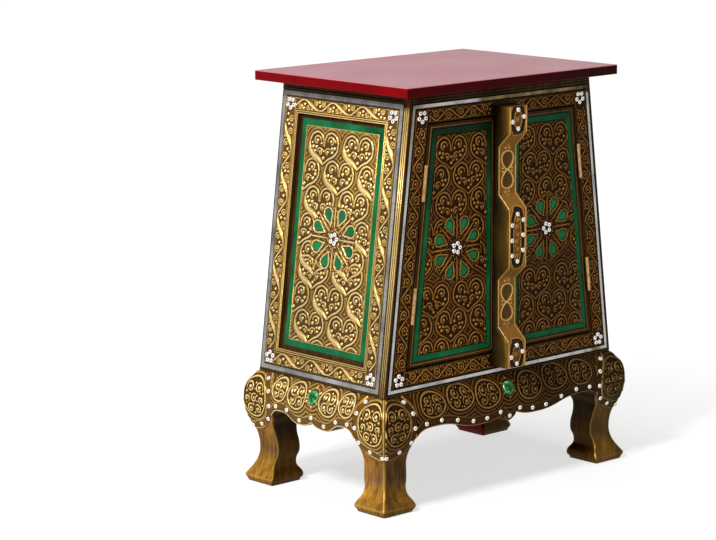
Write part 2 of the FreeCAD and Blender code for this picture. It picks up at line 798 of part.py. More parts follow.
def carving(hearts, field, flower, floor, plane):
    """Ridges along the outlines of hearts, kept inside a field and off its flower."""
    disc = Part.Face(Part.Wire(Part.makeCircle(FLOWER_CLEAR_R, V(*flower, 0))))
    room = outline_face([V(u, v, 0) for u, v in field]).cut(disc)
    ridges = []
    for x, top in hearts:
        for side in (-1, 1):
            band = outline_face([V(u, v, 0) for u, v in ridge([(x + side * a, top + b) for a, b in HEART])])
            for face in band.common(room).Faces:
                solid = face.extrude(V(0, 0, RIDGE_H + RIDGE_ROOT))
                ridges.append(on_plane(solid, 0, 0, floor - RIDGE_ROOT, plane))
    return ridges


def side_hearts():
    """Places of the hearts on a side panel, with every other column half a step lower."""
    places = []
    for i in range(-SIDE_HEART_COLUMNS, SIDE_HEART_COLUMNS + 1):
        shift = 0 if i % 2 else SIDE_HEART_PITCH / 2
        for top in heart_rows(OPENING_LOW, OPENING_HIGH, SIDE_HEART_RISE + shift, SIDE_HEART_DROP + shift,
                              SIDE_HEART_PITCH, SIDE_FLOWER_V - FLOWER_SHARE):
            places.append((i * SIDE_HEART_STEP, top))
    return places


def door_hearts(flower_z):
    """Places of the hearts on a left door, with every other column half a step lower."""
    places = []
    for i in range(DOOR_HEART_COLUMNS):
        shift = DOOR_HEART_PITCH / 2 if i % 2 else 0
        for top in heart_rows(DOOR_BOTTOM_Z, DOOR_TOP_Z, DOOR_HEART_RISE + shift, DOOR_HEART_DROP + shift,
                              DOOR_HEART_PITCH, flower_z - FLOWER_SHARE):
            places.append((-DOOR_HEART_X - i * DOOR_HEART_STEP, top))
    return places


def left_side():
    """The left side: stiles and rails, a recessed panel, and the glass set into them."""
    body = [(-half_width(z), z) for z in (BASE_H, BODY_TOP_Z)] + [(0, BODY_TOP_Z), (0, BASE_H)]
    envelope = prism(body, SIDE_FRONT_Y, BACK_Y)
    length = up_slope(BODY_TOP_Z)
    overrun = SIDE_T

    def board(u0, u1, v0, v1, near=0.0, far=SIDE_T):
        return plate(rectangle(u0, u1, v0, v1), -far, -near, LEFT)

    def rail(v0, v1, low, high):
        main = board(-OPENING_HALF_D, OPENING_HALF_D, v0, v1)
        tenon = board(-OPENING_HALF_D - TENON_L, OPENING_HALF_D + TENON_L, low, high,
                      (SIDE_T - TENON_T) / 2, (SIDE_T + TENON_T) / 2)
        return joined([main.common(envelope).Solids[0], tenon])

    panel = board(-OPENING_HALF_D - PANEL_TONGUE, OPENING_HALF_D + PANEL_TONGUE,
                  OPENING_LOW - PANEL_TONGUE, OPENING_HIGH + PANEL_TONGUE,
                  PANEL_RECESS, PANEL_RECESS + PANEL_T)
    bottom = rail(-overrun, OPENING_LOW, TENON_SHOULDER, OPENING_LOW - TENON_SHOULDER)
    top = rail(OPENING_HIGH, length + overrun, OPENING_HIGH + TENON_SHOULDER, length - TENON_SHOULDER)
    stiles = {"front": board(OPENING_HALF_D, SIDE_HALF_D, -overrun, length + overrun),
              "back": board(-SIDE_HALF_D, -OPENING_HALF_D, -overrun, length + overrun)}

    mirrors = [plate(s, -MIRROR_SEAT, MIRROR_T - MIRROR_SEAT, LEFT) for s in side_mirrors()]
    u1, u0 = OPENING_HALF_D - GLASS_SIDE_MARGIN, OPENING_HALF_D - GLASS_SIDE_MARGIN - GLASS_W
    low, high = OPENING_LOW + GLASS_SIDE_MARGIN, OPENING_HIGH - GLASS_SIDE_MARGIN
    ring = border(rectangle(-u1, u1, low, high), rectangle(-u0, u0, low + GLASS_W, high - GLASS_W))
    floor = -PANEL_RECESS
    glass = [plate(s, floor - GLASS_SEAT, floor + GLASS_T - GLASS_SEAT, LEFT) for s in ring]
    flower = petals(0, SIDE_FLOWER_V, floor, LEFT)
    inner = u0 - FIELD_MARGIN
    field = rectangle(-inner, inner, low + GLASS_W + FIELD_MARGIN, high - GLASS_W - FIELD_MARGIN)
    ridges = carving(side_hearts(), field, (0, SIDE_FLOWER_V), floor, LEFT)

    beads = cluster(0, SIDE_FLOWER_V, floor, LEFT, FLOWER_TURN)
    for u in (-SIDE_HALF_D + SIDE_CLUSTER_IN, SIDE_HALF_D - SIDE_CLUSTER_IN):
        for z, turn in CLUSTERS:
            beads += cluster(u, up_slope(z), 0, LEFT, turn)
    nodes = {
        "side_bottom_rail": cut(bottom, [panel] + mirrors),
        "side_top_rail": cut(top, [panel] + mirrors),
        "side_panel": joined([cut(panel, glass + flower)] + ridges),
        "side_mirror_strips": mirrors,
        "side_glass_border": glass,
        "side_glass_petals": flower,
    }
    for name, shape in stiles.items():
        trimmed = shape.common(envelope).Solids[0]
        nodes["side_" + name + "_stile"] = cut(trimmed, [panel, bottom, top] + mirrors)
    return nodes, beads


def sides():
    """Both sides, the right one a mirror image of the left."""
    left, beads = left_side()
    nodes = {}
    for name, shapes in left.items():
        group = shapes if isinstance(shapes, list) else [shapes]
        nodes["left_" + name] = group
        nodes["right_" + name] = [mirrored(shape) for shape in group]
    front = []
    for z, turn in CLUSTERS:
        front += cluster(-half_width(z) + FRAME_CLUSTER_IN, z, 0, FRONT, turn)
    nodes["body_beads"] = both_sides(front + beads)
    return nodes


def hinge_frame(z):
    """Placement of a left hinge: its Z runs up the pin, and its X points into the door."""
    x = -(door_half_width(z) + HINGE_GAP / 2)
    return FreeCAD.Placement(FreeCAD.Matrix(
        COS, 0, SIN, x, 0, 1, 0, FRONT_Y - HINGE_OUT, -SIN, 0, COS, z, 0, 0, 0, 1))


def knuckle_spans():
    """Where the frame's two knuckles and the door's one lie along the pin."""
    half = HINGE_L / 2
    inner = half - END_KNUCKLE_L
    return [(-half, -inner), (inner, half)], [(-inner + KNUCKLE_GAP, inner - KNUCKLE_GAP)]


def leaf(side, spans):
    """A hinge leaf with its knuckles: side is -1 on the frame and 1 on the door."""
    gap = HINGE_GAP * COS / 2
    x0, x1 = sorted((side * gap, side * (gap - LEAF_T)))
    near = HINGE_OUT + LEAF_SETBACK
    pieces = [block(x0, x1, near, near + LEAF_W, -HINGE_L / 2, HINGE_L / 2)]
    wall = (BARREL_R + PIN_R + PIN_CLEARANCE) / 2
    for low, high in spans:
        pieces.append(block(x0, x1, wall, near, low, high))
        ring = Part.makeCylinder(BARREL_R, high - low, V(0, 0, low))
        pieces.append(ring.cut(Part.makeCylinder(PIN_R + PIN_CLEARANCE, high - low, V(0, 0, low))))
    return joined(pieces)


def leaf_screws(side):
    """Two screws through a leaf, flush with its face."""
    gap = HINGE_GAP * COS / 2
    start = V(side * (gap - LEAF_T), HINGE_OUT + LEAF_SETBACK + LEAF_W / 2, 0)
    screws = []
    for z in (-HINGE_L / 4, HINGE_L / 4):
        screws.append(Part.makeCylinder(LEAF_SCREW_R, LEAF_SCREW_L, start + V(0, 0, z), V(side, 0, 0)))
    return screws


def on_hinges(shapes):
    """Copies of pieces drawn at a hinge, placed at both hinges of the left door."""
    placed = []
    for z in HINGE_HEIGHTS:
        for shape in shapes:
            copy = shape.copy()
            copy.Placement = hinge_frame(z)
            placed.append(copy)
    return placed


def frame_leaf_screws():
    return both_sides(on_hinges(leaf_screws(-1)))


def hinges():
    """The hinge pieces that stay on the frame."""
    spans = knuckle_spans()[0]
    head = Part.makeCylinder(PIN_HEAD_R, PIN_HEAD_H, V(0, 0, HINGE_L / 2))
    pin = joined([Part.makeCylinder(PIN_R, HINGE_L, V(0, 0, -HINGE_L / 2)), head])
    frame_leaf = cut(leaf(-1, spans), leaf_screws(-1))
    return {
        "frame_hinge_leaves": both_sides(on_hinges([frame_leaf])),
        "hinge_pins": both_sides(on_hinges([pin])),
        "frame_hinge_screws": frame_leaf_screws(),
    }


def door_board(free_edge):
    """A left door's board, from its sloping hinge edge to its upright free edge."""
    ends = (DOOR_BOTTOM_Z, DOOR_TOP_Z)
    corners = [(-door_half_width(z), z) for z in ends] + [(free_edge, z) for z in reversed(ends)]
    return prism(corners, FRONT_Y, DOOR_BACK_Y)


def door_glass(flower_z):
    """The glass border and petals of a left door, the beads on its flower and its carved ridges."""
    def ring(extra):
        low = DOOR_BOTTOM_Z + GLASS_END_MARGIN + extra
        high = DOOR_TOP_Z - GLASS_END_MARGIN - extra
        inward = GLASS_HINGE_MARGIN + extra
        free = -(BAR_X + GLASS_BAR_MARGIN + extra)
        return [(-door_half_width(low) + inward, low), (free, low),
                (free, high), (-door_half_width(high) + inward, high)]

    strips = [plate(s, -GLASS_SEAT, GLASS_T - GLASS_SEAT, FRONT) for s in border(ring(0), ring(GLASS_W))]
    middle = (-door_half_width(flower_z) + GLASS_HINGE_MARGIN - BAR_X - GLASS_BAR_MARGIN) / 2
    ridges = carving(door_hearts(flower_z), ring(GLASS_W + FIELD_MARGIN), (middle, flower_z), 0, FRONT)
    return (strips, petals(middle, flower_z, 0, FRONT), cluster(middle, flower_z, 0, FRONT, FLOWER_TURN),
            ridges)


def bar():
    """The tall bar on the right door: three high blocks joined by two low lengths."""
    low = BOTTOM_RAIL_Z - BAR_BOTTOM_LAP
    high = TOP_RAIL_Z + BAR_TOP_LAP
    middle = (low + high) / 2
    half = BAR_MIDDLE_L / 2
    steps = [(low, BAR_HIGH), (low + BAR_END_L, BAR_HIGH), (low + BAR_END_L + BAR_RAMP_L, BAR_LOW),
             (middle - half - BAR_RAMP_L, BAR_LOW), (middle - half, BAR_HIGH)]
    steps += [(2 * middle - z, out) for z, out in reversed(steps)]
    ends = [(high, BAR_RAIL_GAP), (DOOR_TOP_Z, BAR_RAIL_GAP), (DOOR_TOP_Z, 0),
            (DOOR_BOTTOM_Z, 0), (DOOR_BOTTOM_Z, BAR_RAIL_GAP), (low, BAR_RAIL_GAP)]
    profile = [V(-BAR_X, FRONT_Y - out, z) for z, out in steps + ends]
    solid = outline_face(profile).extrude(V(BAR_W, 0, 0))
    lip = FRONT_Y - BAR_LOW / 2
    long_edges = [e for e in solid.Edges if e.BoundBox.XLength < BAR_X and e.CenterOfMass.y < lip
                  and e.BoundBox.ZLength > BAR_BEVEL]
    return solid.makeChamfer(BAR_BEVEL, long_edges).Solids[0], bar_beads(low, middle, high)


def bar_beads(low, middle, high):
    """Beads in an oval on each high block."""
    places = []
    for centre in (low + BAR_END_L / 2, high - BAR_END_L / 2):
        places += [(0, centre + BAR_END_BEAD_Z), (0, centre - BAR_END_BEAD_Z)]
        places += [(side * BAR_BEAD_X, centre + side * BAR_BEAD_STAGGER) for side in (-1, 1)]
    places += [(0, middle + BAR_MIDDLE_BEAD_Z), (0, middle - BAR_MIDDLE_BEAD_Z)]
    for step in (-BAR_BEAD_STEP, 0, BAR_BEAD_STEP):
        places += [(side * BAR_BEAD_X, middle + step + side * BAR_BEAD_STAGGER) for side in (-1, 1)]
    return [on_plane(dome(BEAD_R, BEAD_H), x, z, BAR_HIGH, FRONT) for x, z in places]


def left_hand_door(free_edge, flower_z):
    """A left door with its glass, beads and hinge leaves, from its hinges to a free edge."""
    strips, flower, beads, ridges = door_glass(flower_z)
    screws = on_hinges(leaf_screws(1))
    leaves = on_hinges([cut(leaf(1, knuckle_spans()[1]), leaf_screws(1))])
    board = joined([cut(door_board(free_edge), strips + flower + screws)] + ridges)
    return {"board": [board], "glass_border": strips, "glass_petals": flower, "beads": beads,
            "hinge_leaves": leaves, "hinge_screws": screws}


def doors():
    """Both doors, and the bar on the right one."""
    nodes = {}
    for name, shapes in left_hand_door(-BAR_X - MEETING_GAP, BASE_H + LEFT_FLOWER_RISE).items():
        nodes["left_door_" + name] = shapes
    for name, shapes in left_hand_door(BAR_X, BASE_H + RIGHT_FLOWER_RISE).items():
        nodes["right_door_" + name] = [mirrored(shape) for shape in shapes]
    nodes["centre_bar"], nodes["centre_bar_beads"] = bar()
    return nodes


def save(name, shapes):
    group = shapes if isinstance(shapes, list) else [shapes]
    shape = group[0] if len(group) == 1 else Part.makeCompound(group)
    shape.exportStep("parts/" + name + ".step")


def main():
    os.makedirs("parts", exist_ok=True)
    nodes = {}
    for section in (carcass, base, front_frame, sides, hinges, doors):
        nodes.update(section())
    for name, shapes in nodes.items():
        save(name, shapes)


main()
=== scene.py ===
import json
import math

import bpy
import numpy as np
from mathutils import Matrix
from mathutils.kdtree import KDTree
from numpy.lib.stride_tricks import sliding_window_view


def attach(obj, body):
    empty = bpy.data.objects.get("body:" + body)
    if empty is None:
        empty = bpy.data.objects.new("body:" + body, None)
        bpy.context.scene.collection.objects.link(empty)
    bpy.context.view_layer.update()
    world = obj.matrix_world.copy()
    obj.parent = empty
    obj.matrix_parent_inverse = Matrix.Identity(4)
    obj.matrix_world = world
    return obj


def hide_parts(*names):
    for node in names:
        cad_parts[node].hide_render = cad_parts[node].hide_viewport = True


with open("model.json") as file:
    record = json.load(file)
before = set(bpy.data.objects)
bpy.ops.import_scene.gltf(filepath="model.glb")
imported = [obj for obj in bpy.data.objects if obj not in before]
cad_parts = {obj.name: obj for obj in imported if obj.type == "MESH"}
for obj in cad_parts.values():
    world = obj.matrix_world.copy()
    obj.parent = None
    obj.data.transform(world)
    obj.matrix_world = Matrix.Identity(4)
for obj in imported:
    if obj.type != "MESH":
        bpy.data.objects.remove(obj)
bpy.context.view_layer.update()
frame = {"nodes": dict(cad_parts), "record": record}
nodes = frame["nodes"]
rng = np.random.default_rng(7)

# Sizes in mm; those of the solids are the same as in the part's source
MM = 0.001
BODY_Z = 166.0
BODY_HALF = 231.5
BODY_HALF_D = 132.5
SLOPE = 52.2 / 420.0
COS = 1 / math.sqrt(1 + SLOPE * SLOPE)
SIN = SLOPE * COS
SIDE_MIDDLE_Y = 5.0
BAND_TOP_Z = 563.2
CLUSTERS_Z = (188, 554)
CLUSTER_R = 12.5
TOP_LINES_Z = (575.2, 579.4, 583.6)

# Doors: how far the glass border lies from the hinge edge and the middle, and its height
DOOR_INSET = 38.5
DOOR_GLASS_W = 10
DOOR_GLASS_HINGE = 8
DOOR_GLASS_BAR = -23.5
DOOR_GLASS_LOW = 209
DOOR_GLASS_HIGH = 535
LEFT_FLOWER = (-92.0, 362.5)
RIGHT_FLOWER = (91.6, 369.5)

# Side panels: how far out they lie, and the opening of their frames, measured up the slope
PANEL_OUT = -6.5
SIDE_GLASS_W = 16
SIDE_OPEN_HALF = 91
SIDE_OPEN_LOW = 37.28
SIDE_OPEN_HIGH = 377.89
SIDE_FLOWER = (0.0, 207.08)

# Petals of the flowers: radius of the round end, its distance from the middle, and that of the point
PETAL_R = 6.75
PETAL_AT = 37.75
PETAL_TIP = 23.5
PETAL_POINTS = 28

# Centre bar: height and how far it stands out
BAR_HIGH = 30
BAR_LOW = 9
BAR_PROFILE = [(181, BAR_HIGH), (218.5, BAR_HIGH), (239, BAR_LOW), (308, BAR_LOW), (328.5, BAR_HIGH),
               (410.5, BAR_HIGH), (431, BAR_LOW), (500, BAR_LOW), (520.5, BAR_HIGH), (558, BAR_HIGH)]
BAR_HALF = 17.6

# Base: where the legs start, the aprons with the heights of their lower edges, and the legs' carving
LEG_X = 186.5
LEG_Y = 87.5
GEM_Z = 148.0
APRON_END_Z = 106
ARCH_Z = 117
LOBE_Z = 104
CUSP_Z = 112
PENDANT_Z = 100
APRON_H = 62
APRON_TOP_Z = 165.6
BEAD_BAND_H = 13.0
LEG_EDGE_R = 3.2
TOE_Z = 9
SHIN_TOP_Z = 76
CARVED_TOP_Z = 165.5
LEG_FACE_POINTS = 66
LEG_BACK_POINTS = 14
BEAD_GROOVE_R = 4.6
KNEE_BEADS = [(29, 158), (38.5, 142), (41, 121), (36, 101), (17, 90), (-5, 84)]
KNEE_FIELD = (-22, 48, 76, 168)
SKIN_END = [(-24, 80), (0, 79), (17, 82), (32, 92), (42, 104), (50, 110)]

# Carving: grids of the meshes and of the heights, level of the ground, pitch of the reeds, and how the
# heights stand on a face
GRID = 0.9
STEP = GRID * 0.7
GROUND = 0.3
REED_PITCH = 5.2
LIFT = 0.12
DEPTH = 1.25
SUNK = -0.4


def half_width(z):
    """Half the width of the body's front at a height."""
    return BODY_HALF - SLOPE * (z - BODY_Z)


def door_half(z):
    """How far a door's hinge edge is from the middle at a height."""
    return half_width(z) - DOOR_INSET


def up_side(z):
    """Distance up the sloping side of a height on it."""
    return (z - BODY_Z) / COS


# Places on the object's faces: across, up and outward in mm, to points in metres
def on_front(u, v, w):
    return np.stack([u, -BODY_HALF_D - w, v], -1) * MM


def on_left_stile(u, v, w):
    return on_front(u - half_width(v), v, w)


def on_left(u, v, w):
    x = -BODY_HALF + SIN * v - COS * w
    z = BODY_Z + COS * v + SIN * w
    return np.stack([x, SIDE_MIDDLE_Y - u, z], -1) * MM


def on_left_panel(u, v, w):
    return on_left(u, v, w + PANEL_OUT)


def bezier(poles, count=40):
    t = np.linspace(0, 1, count)[:, None]
    a, b, c, d = (np.array(p, float) for p in poles)
    return a * (1 - t) ** 3 + 3 * b * t * (1 - t) ** 2 + 3 * c * t * t * (1 - t) + d * t ** 3


def s_curve(a, b):
    """A curve that starts and ends upright."""
    middle = (a[1] + b[1]) / 2
    return bezier([a, (a[0], middle), (b[0], middle), b])


# Outer and inner edge of a leg: how far out or in, and the height
OUTER = np.vstack([bezier(p) for p in (
    [(0, 166), (8.9, 156), (17.8, 150), (17.8, 126)],
    [(17.8, 126), (17.8, 88), (1.5, 88), (1.5, 50)],
    [(1.5, 50), (1.5, 27.45), (15.75, 15.15), (17.5, 9)],
    [(17.5, 9), (16.2, 6), (14.8, 3), (13.5, 0)])])[::-1]
INNER_MARKS = [(40, 0), (44, 9), (36.5, 29), (40.5, 50), (37.5, 82), (45, 112), (45, 166)]
INNER = np.vstack([s_curve(a, b) for a, b in zip(INNER_MARKS, INNER_MARKS[1:])])
BAR_LINE = np.array(BAR_PROFILE, float)[:, ::-1]


def stands_out(line, z, step=0.5):
    """How far a line of (out, height) stands out at height z, and its slope."""
    rise = np.interp(z + step, line[:, 1], line[:, 0]) - np.interp(z - step, line[:, 1], line[:, 0])
    return np.interp(z, line[:, 1], line[:, 0]), rise / (2 * step)


def on_curved(line, reach, step=0.5):
    """A place function for a face that looks to -Y at that reach and follows a line."""
    def place(u, v, w):
        out, slope = stands_out(line, v, step)
        size = np.sqrt(1 + slope * slope)
        return np.stack([u, -reach - out - w / size, v - slope * w / size], -1) * MM
    return place


def edge_line(half, arch, lobe, cusp, pendant):
    """Lower edge of an apron as height over distance from its middle."""
    dip = lobe - cusp
    middle = (half - arch + lobe) / 2
    runs = [
        [(half, APRON_END_Z), (half - arch * 0.25, ARCH_Z), (half - arch * 0.6, ARCH_Z),
         (half - arch, ARCH_Z)],
        [(half - arch, ARCH_Z), (middle, ARCH_Z), (middle, LOBE_Z), (lobe, LOBE_Z)],
        [(lobe, LOBE_Z), (lobe - dip * 0.5, LOBE_Z), (lobe - dip * 0.8, 106.8), (cusp, CUSP_Z)]]
    if pendant:
        runs.append([(cusp, CUSP_Z), (cusp * 0.75, 103.6), (cusp * 0.4, PENDANT_Z), (0, PENDANT_Z)])
    line = np.vstack([bezier(r) for r in runs])[::-1]
    return lambda u: np.interp(np.abs(u), line[:, 0], line[:, 1])


FRONT_EDGE = edge_line(LEG_X, 38, 58, 13, True)
SIDE_EDGE = edge_line(LEG_Y, 24, 27, 0, False)


# Meshes
def build(name, body, verts, faces, material, tone=None, smooth=None, flip=False, stands_for=()):
    """A piece on a body; only its first faces are smooth where a number of them is given."""
    verts = np.asarray(verts, float)
    if flip:
        verts = verts * (-1, 1, 1)
        faces = [f[::-1] for f in faces]
    mesh = bpy.data.meshes.new(name)
    mesh.from_pydata(verts.tolist(), [], faces)
    flags = np.ones(len(faces), bool)
    if smooth is not None:
        flags[smooth:] = False
    mesh.polygons.foreach_set("use_smooth", flags)
    if tone is not None:
        mesh.attributes.new("tone", "FLOAT", "POINT").data.foreach_set("value", np.asarray(tone, float))
    mesh.materials.append(material)
    obj = bpy.data.objects.new(name, mesh)
    bpy.context.scene.collection.objects.link(obj)
    if stands_for:
        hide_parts(*stands_for)
    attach(obj, body)


def loft(rings, around, start=0, closed=False):
    """Quads from ring to ring of points, with a face over each end unless the last ring meets the first."""
    i = start + np.arange(rings * around).reshape(rings, around)
    ends = [i[0, ::-1].tolist(), i[-1].tolist()]
    if closed:
        i = np.vstack([i, i[:1]])
        ends = []
    j = np.roll(i, -1, 1)
    return np.stack([i[:-1], j[:-1], j[1:], i[1:]], -1).reshape(-1, 4).tolist() + ends


def sheet(name, body, top, back, tone, material, flip, curved):
    """A closed sheet: a grid of outer points, its rim carried back, and a back that is flat or curved."""
    rows, cols = top.shape[:2]
    i = np.arange(rows * cols).reshape(rows, cols)
    faces = np.stack([i[:-1, :-1], i[:-1, 1:], i[1:, 1:], i[1:, :-1]], -1).reshape(-1, 4)
    loop = np.concatenate([i[0, :-1], i[:-1, -1], i[-1, :0:-1], i[:0:-1, 0]])
    behind = back.reshape(-1, 3)
    if curved:
        ring = i.size + loop
        closing = (i.size + faces[:, ::-1]).tolist()
    else:
        behind = behind[loop]
        ring = i.size + np.arange(len(loop))
        closing = [ring[::-1].tolist()]
    sides = np.stack([loop, ring, np.roll(ring, -1), np.roll(loop, -1)], -1)
    verts = np.vstack([top.reshape(-1, 3), behind])
    shade = np.concatenate([tone.ravel(), np.zeros(len(behind))])
    build(name, body, verts, faces.tolist() + closing + sides.tolist(), material, shade,
          len(faces), flip)


def smooth_line(points, spacing=0.6):
    """A curve through points, as points that lie close together."""
    p = np.array(points, float)
    p = np.vstack([2 * p[0] - p[1], p, 2 * p[-1] - p[-2]])
    out = []
    for a, b, c, d in zip(p, p[1:], p[2:], p[3:]):
        n = max(2, int(np.linalg.norm(c - b) / spacing) + 1)
        t = np.linspace(0, 1, n, endpoint=False)[:, None]
        out.append(0.5 * (2 * b + (c - a) * t + (2 * a - 5 * b + 4 * c - d) * t ** 2
                          + (3 * b - a - 3 * c + d) * t ** 3))
    out.append(p[-2:-1])
    return np.vstack(out)


class Relief:
    """Heights over a flat grid, raised by rounded strokes and berries."""

    def __init__(self, u0, u1, v0, v1, base=0.0):
        self.us = np.arange(u0, u1 + STEP, STEP)
        self.vs = np.arange(v0, v1 + STEP, STEP)
        self.h = np.full((len(self.vs), len(self.us)), base)

    def near(self, x, y, r):
        """The part of the grid round a point, with squared distances in units of r."""
        i0 = max(0, int((x - r - self.us[0]) / STEP))
        i1 = max(0, int((x + r - self.us[0]) / STEP) + 2)
        j0 = max(0, int((y - r - self.vs[0]) / STEP))
        j1 = max(0, int((y + r - self.vs[0]) / STEP) + 2)
        dx = self.us[i0:i1] - x
        dy = self.vs[j0:j1] - y
        return self.h[j0:j1, i0:i1], (dx[None, :] ** 2 + dy[:, None] ** 2) / (r * r)

    def ball(self, x, y, r, h):
        part, q = self.near(x, y, r)
        np.maximum(part, h * np.sqrt(np.maximum(1 - q, 0)), out=part)

    def groove(self, points, r, floor):
        for x, y in smooth_line(points):
            part, q = self.near(x, y, r)
            part[q < 1] = np.minimum(part[q < 1], floor)

    def stroke(self, points, r, h, start=1.0, end=1.0):
        """A rounded line whose ends taper to these shares of its width."""
        line = smooth_line(points)
        taper = 0.35
        for k, (x, y) in enumerate(line):
            t = k / max(1, len(line) - 1)
            size = min(1.0, start + (1 - start) * t / taper, end + (1 - end) * (1 - t) / taper)
            self.ball(x, y, r * size, h * (0.45 + 0.55 * size))

    def straight(self, a, b, r=0.9, h=1.3):
        self.stroke([a, ((a[0] + b[0]) / 2, (a[1] + b[1]) / 2), b], r, h)

    def within(self, p):
        """Rows, columns and mask of the grid inside a closed outline."""
        i0, i1 = np.searchsorted(self.us, (p[:, 0].min(), p[:, 0].max()))
        j0, j1 = np.searchsorted(self.vs, (p[:, 1].min(), p[:, 1].max()))
        u = self.us[i0:i1][None, :, None]
        v = self.vs[j0:j1][:, None, None]
        q = np.roll(p, -1, 0)
        crosses = (p[:, 1] > v) != (q[:, 1] > v)
        rise = np.where(q[:, 1] == p[:, 1], 1e-9, q[:, 1] - p[:, 1])
        hits = crosses & (u < p[:, 0] + (v - p[:, 1]) / rise * (q[:, 0] - p[:, 0]))
        return slice(j0, j1), slice(i0, i1), hits.sum(2) % 2 == 1

    def level(self, outline, h):
        """Set the whole inside of an outline to one height."""
        rows, cols, mask = self.within(outline)
        part = self.h[rows, cols]
        part[mask] = h

    def reed(self, outlines):
        """Raise the ground outside closed outlines to parallel reeds that follow the nearest outline."""
        outside = np.ones(self.h.shape, bool)
        for p in outlines:
            rows, cols, mask = self.within(p)
            outside[rows, cols] &= ~mask
        points = np.vstack(outlines)
        tree = KDTree(len(points))
        for k, (x, y) in enumerate(points):
            tree.insert((x, y, 0), k)
        tree.balance()
        for j, i in zip(*np.nonzero(outside)):
            d = tree.find((self.us[i], self.vs[j], 0))[2]
            wave = 0.85 - 0.5 * math.cos(2 * math.pi * (d - 2.5) / REED_PITCH)
            self.h[j, i] = max(self.h[j, i], wave * min(1.0, max(0.5, (24 - d) / 8)))

    def fill(self, outline, r, h, spacing):
        """Pack berries inside a closed outline, wherever it is still low."""
        rows, cols, mask = self.within(outline)
        us, vs = self.us[cols], self.vs[rows]
        if mask.size == 0:
            return
        for k, y in enumerate(np.arange(vs[0] + 1.5, vs[-1], spacing * 0.87)):
            for x in np.arange(us[0] + 1.5 + k % 2 * spacing / 2, us[-1], spacing):
                a, b = x + rng.normal(0, 0.35), y + rng.normal(0, 0.35)
                size = r * rng.uniform(0.8, 1.25)
                i, j = int((a - us[0]) / STEP), int((b - vs[0]) / STEP)
                if 0 <= i < mask.shape[1] and 0 <= j < mask.shape[0] and mask[j, i]:
                    part, q = self.near(a, b, size)
                    if part.size and part[q < 0.7].max(initial=0) < 0.55:
                        self.ball(a, b, size, h)

    def clear(self, x, y, r, level=0.0):
        d = np.hypot(self.us[None, :] - x, self.vs[:, None] - y)
        self.h[d < r] = level

    def patina(self, reach=3.0):
        """Share of gold left at each point: more on crests, less in hollows."""
        k = int(reach / STEP)
        around = sliding_window_view(np.pad(self.h, k, mode="edge"), (2 * k + 1, 2 * k + 1))
        return 0.22 + 0.29 * self.h + 0.55 * (self.h - around.mean((2, 3)))

    def at(self, u, v, values=None):
        """Heights, or other values on the same grid, at any places."""
        fu = np.clip((u - self.us[0]) / STEP, 0, len(self.us) - 1.001)
        fv = np.clip((v - self.vs[0]) / STEP, 0, len(self.vs) - 1.001)
        i, j = fu.astype(int), fv.astype(int)
        a, b = fu - i, fv - j
        h = self.h if values is None else values
        return ((h[j, i] * (1 - a) + h[j, i + 1] * a) * (1 - b)
                + (h[j + 1, i] * (1 - a) + h[j + 1, i + 1] * a) * b)


def upright(u):
    """An edge that stays at one place across."""
    return lambda v: u + 0 * v


def relief_sheet(name, body, f, place, left, right, low, high, material, flip=False, curved=False, gold=None):
    """A relief over the area between the lines left(v) and right(v), from low to high, on a face."""
    span = max(right(low) - left(low), right(high) - left(high))
    cols = int(span / GRID) + 2
    rows = int((high - low) / GRID) + 2
    v = np.repeat(np.linspace(low, high, rows)[:, None], cols, 1)
    u = left(v) + (right(v) - left(v)) * np.linspace(0, 1, cols)[None, :]
    tone = f.at(u, v, f.patina() if gold is None else gold)
    sheet(name, body, place(u, v, LIFT + DEPTH * f.at(u, v)), place(u, v, SUNK + 0 * u), tone, material,
          flip, curved)


# Motifs of the carving
def turned(points, degrees):
    """Points turned about the origin in the plane of their first two coordinates."""
    c, s = math.cos(math.radians(degrees)), math.sin(math.radians(degrees))
    x, y = points[..., 0], points[..., 1]
    return np.concatenate([np.stack([x * c - y * s, x * s + y * c], -1), points[..., 2:]], -1)


def oval(x, z, rx, rz, count=41):
    a = np.linspace(0, 2 * math.pi, count)
    return np.stack([x + rx * np.cos(a), z + rz * np.sin(a)], -1)


def curl(f, x, y, r, start, sweep, w, h, berry=0.36):
    """A hook that winds in round a berry, with its angles in degrees."""
    t = np.linspace(0, 1, 16)
    a = np.radians(start + sweep * t)
    rad = r * (1 - 0.42 * t)
    f.stroke(np.stack([x + rad * np.cos(a), y + rad * np.sin(a)], -1), w, h, 0.6, 0.9)
    f.ball(x, y, max(1.4, berry * r), h + 0.3)


def berries(f, places, r, h):
    for x, y in places:
        f.ball(x + rng.normal(0, 0.25), y + rng.normal(0, 0.25), r * rng.uniform(0.9, 1.12), h)


# Half a heart, from the dip at its top round the loop and down to its point
LOOP = [(1.0, -19.5), (1.8, -11), (6.0, -3.4), (15, 0), (25, -4.6), (30, -15)]
TAIL = [(30, -15), (28.6, -25), (21, -33), (9.5, -39), (0, -46)]


def heart_line(points, x, top, side):
    return smooth_line([(x + side * a, top + b) for a, b in points])


def heart_outline(x, top):
    left, right = (np.vstack([heart_line(part, x, top, side) for part in (LOOP, TAIL)]) for side in (-1, 1))
    return np.vstack([left, right[::-1]])


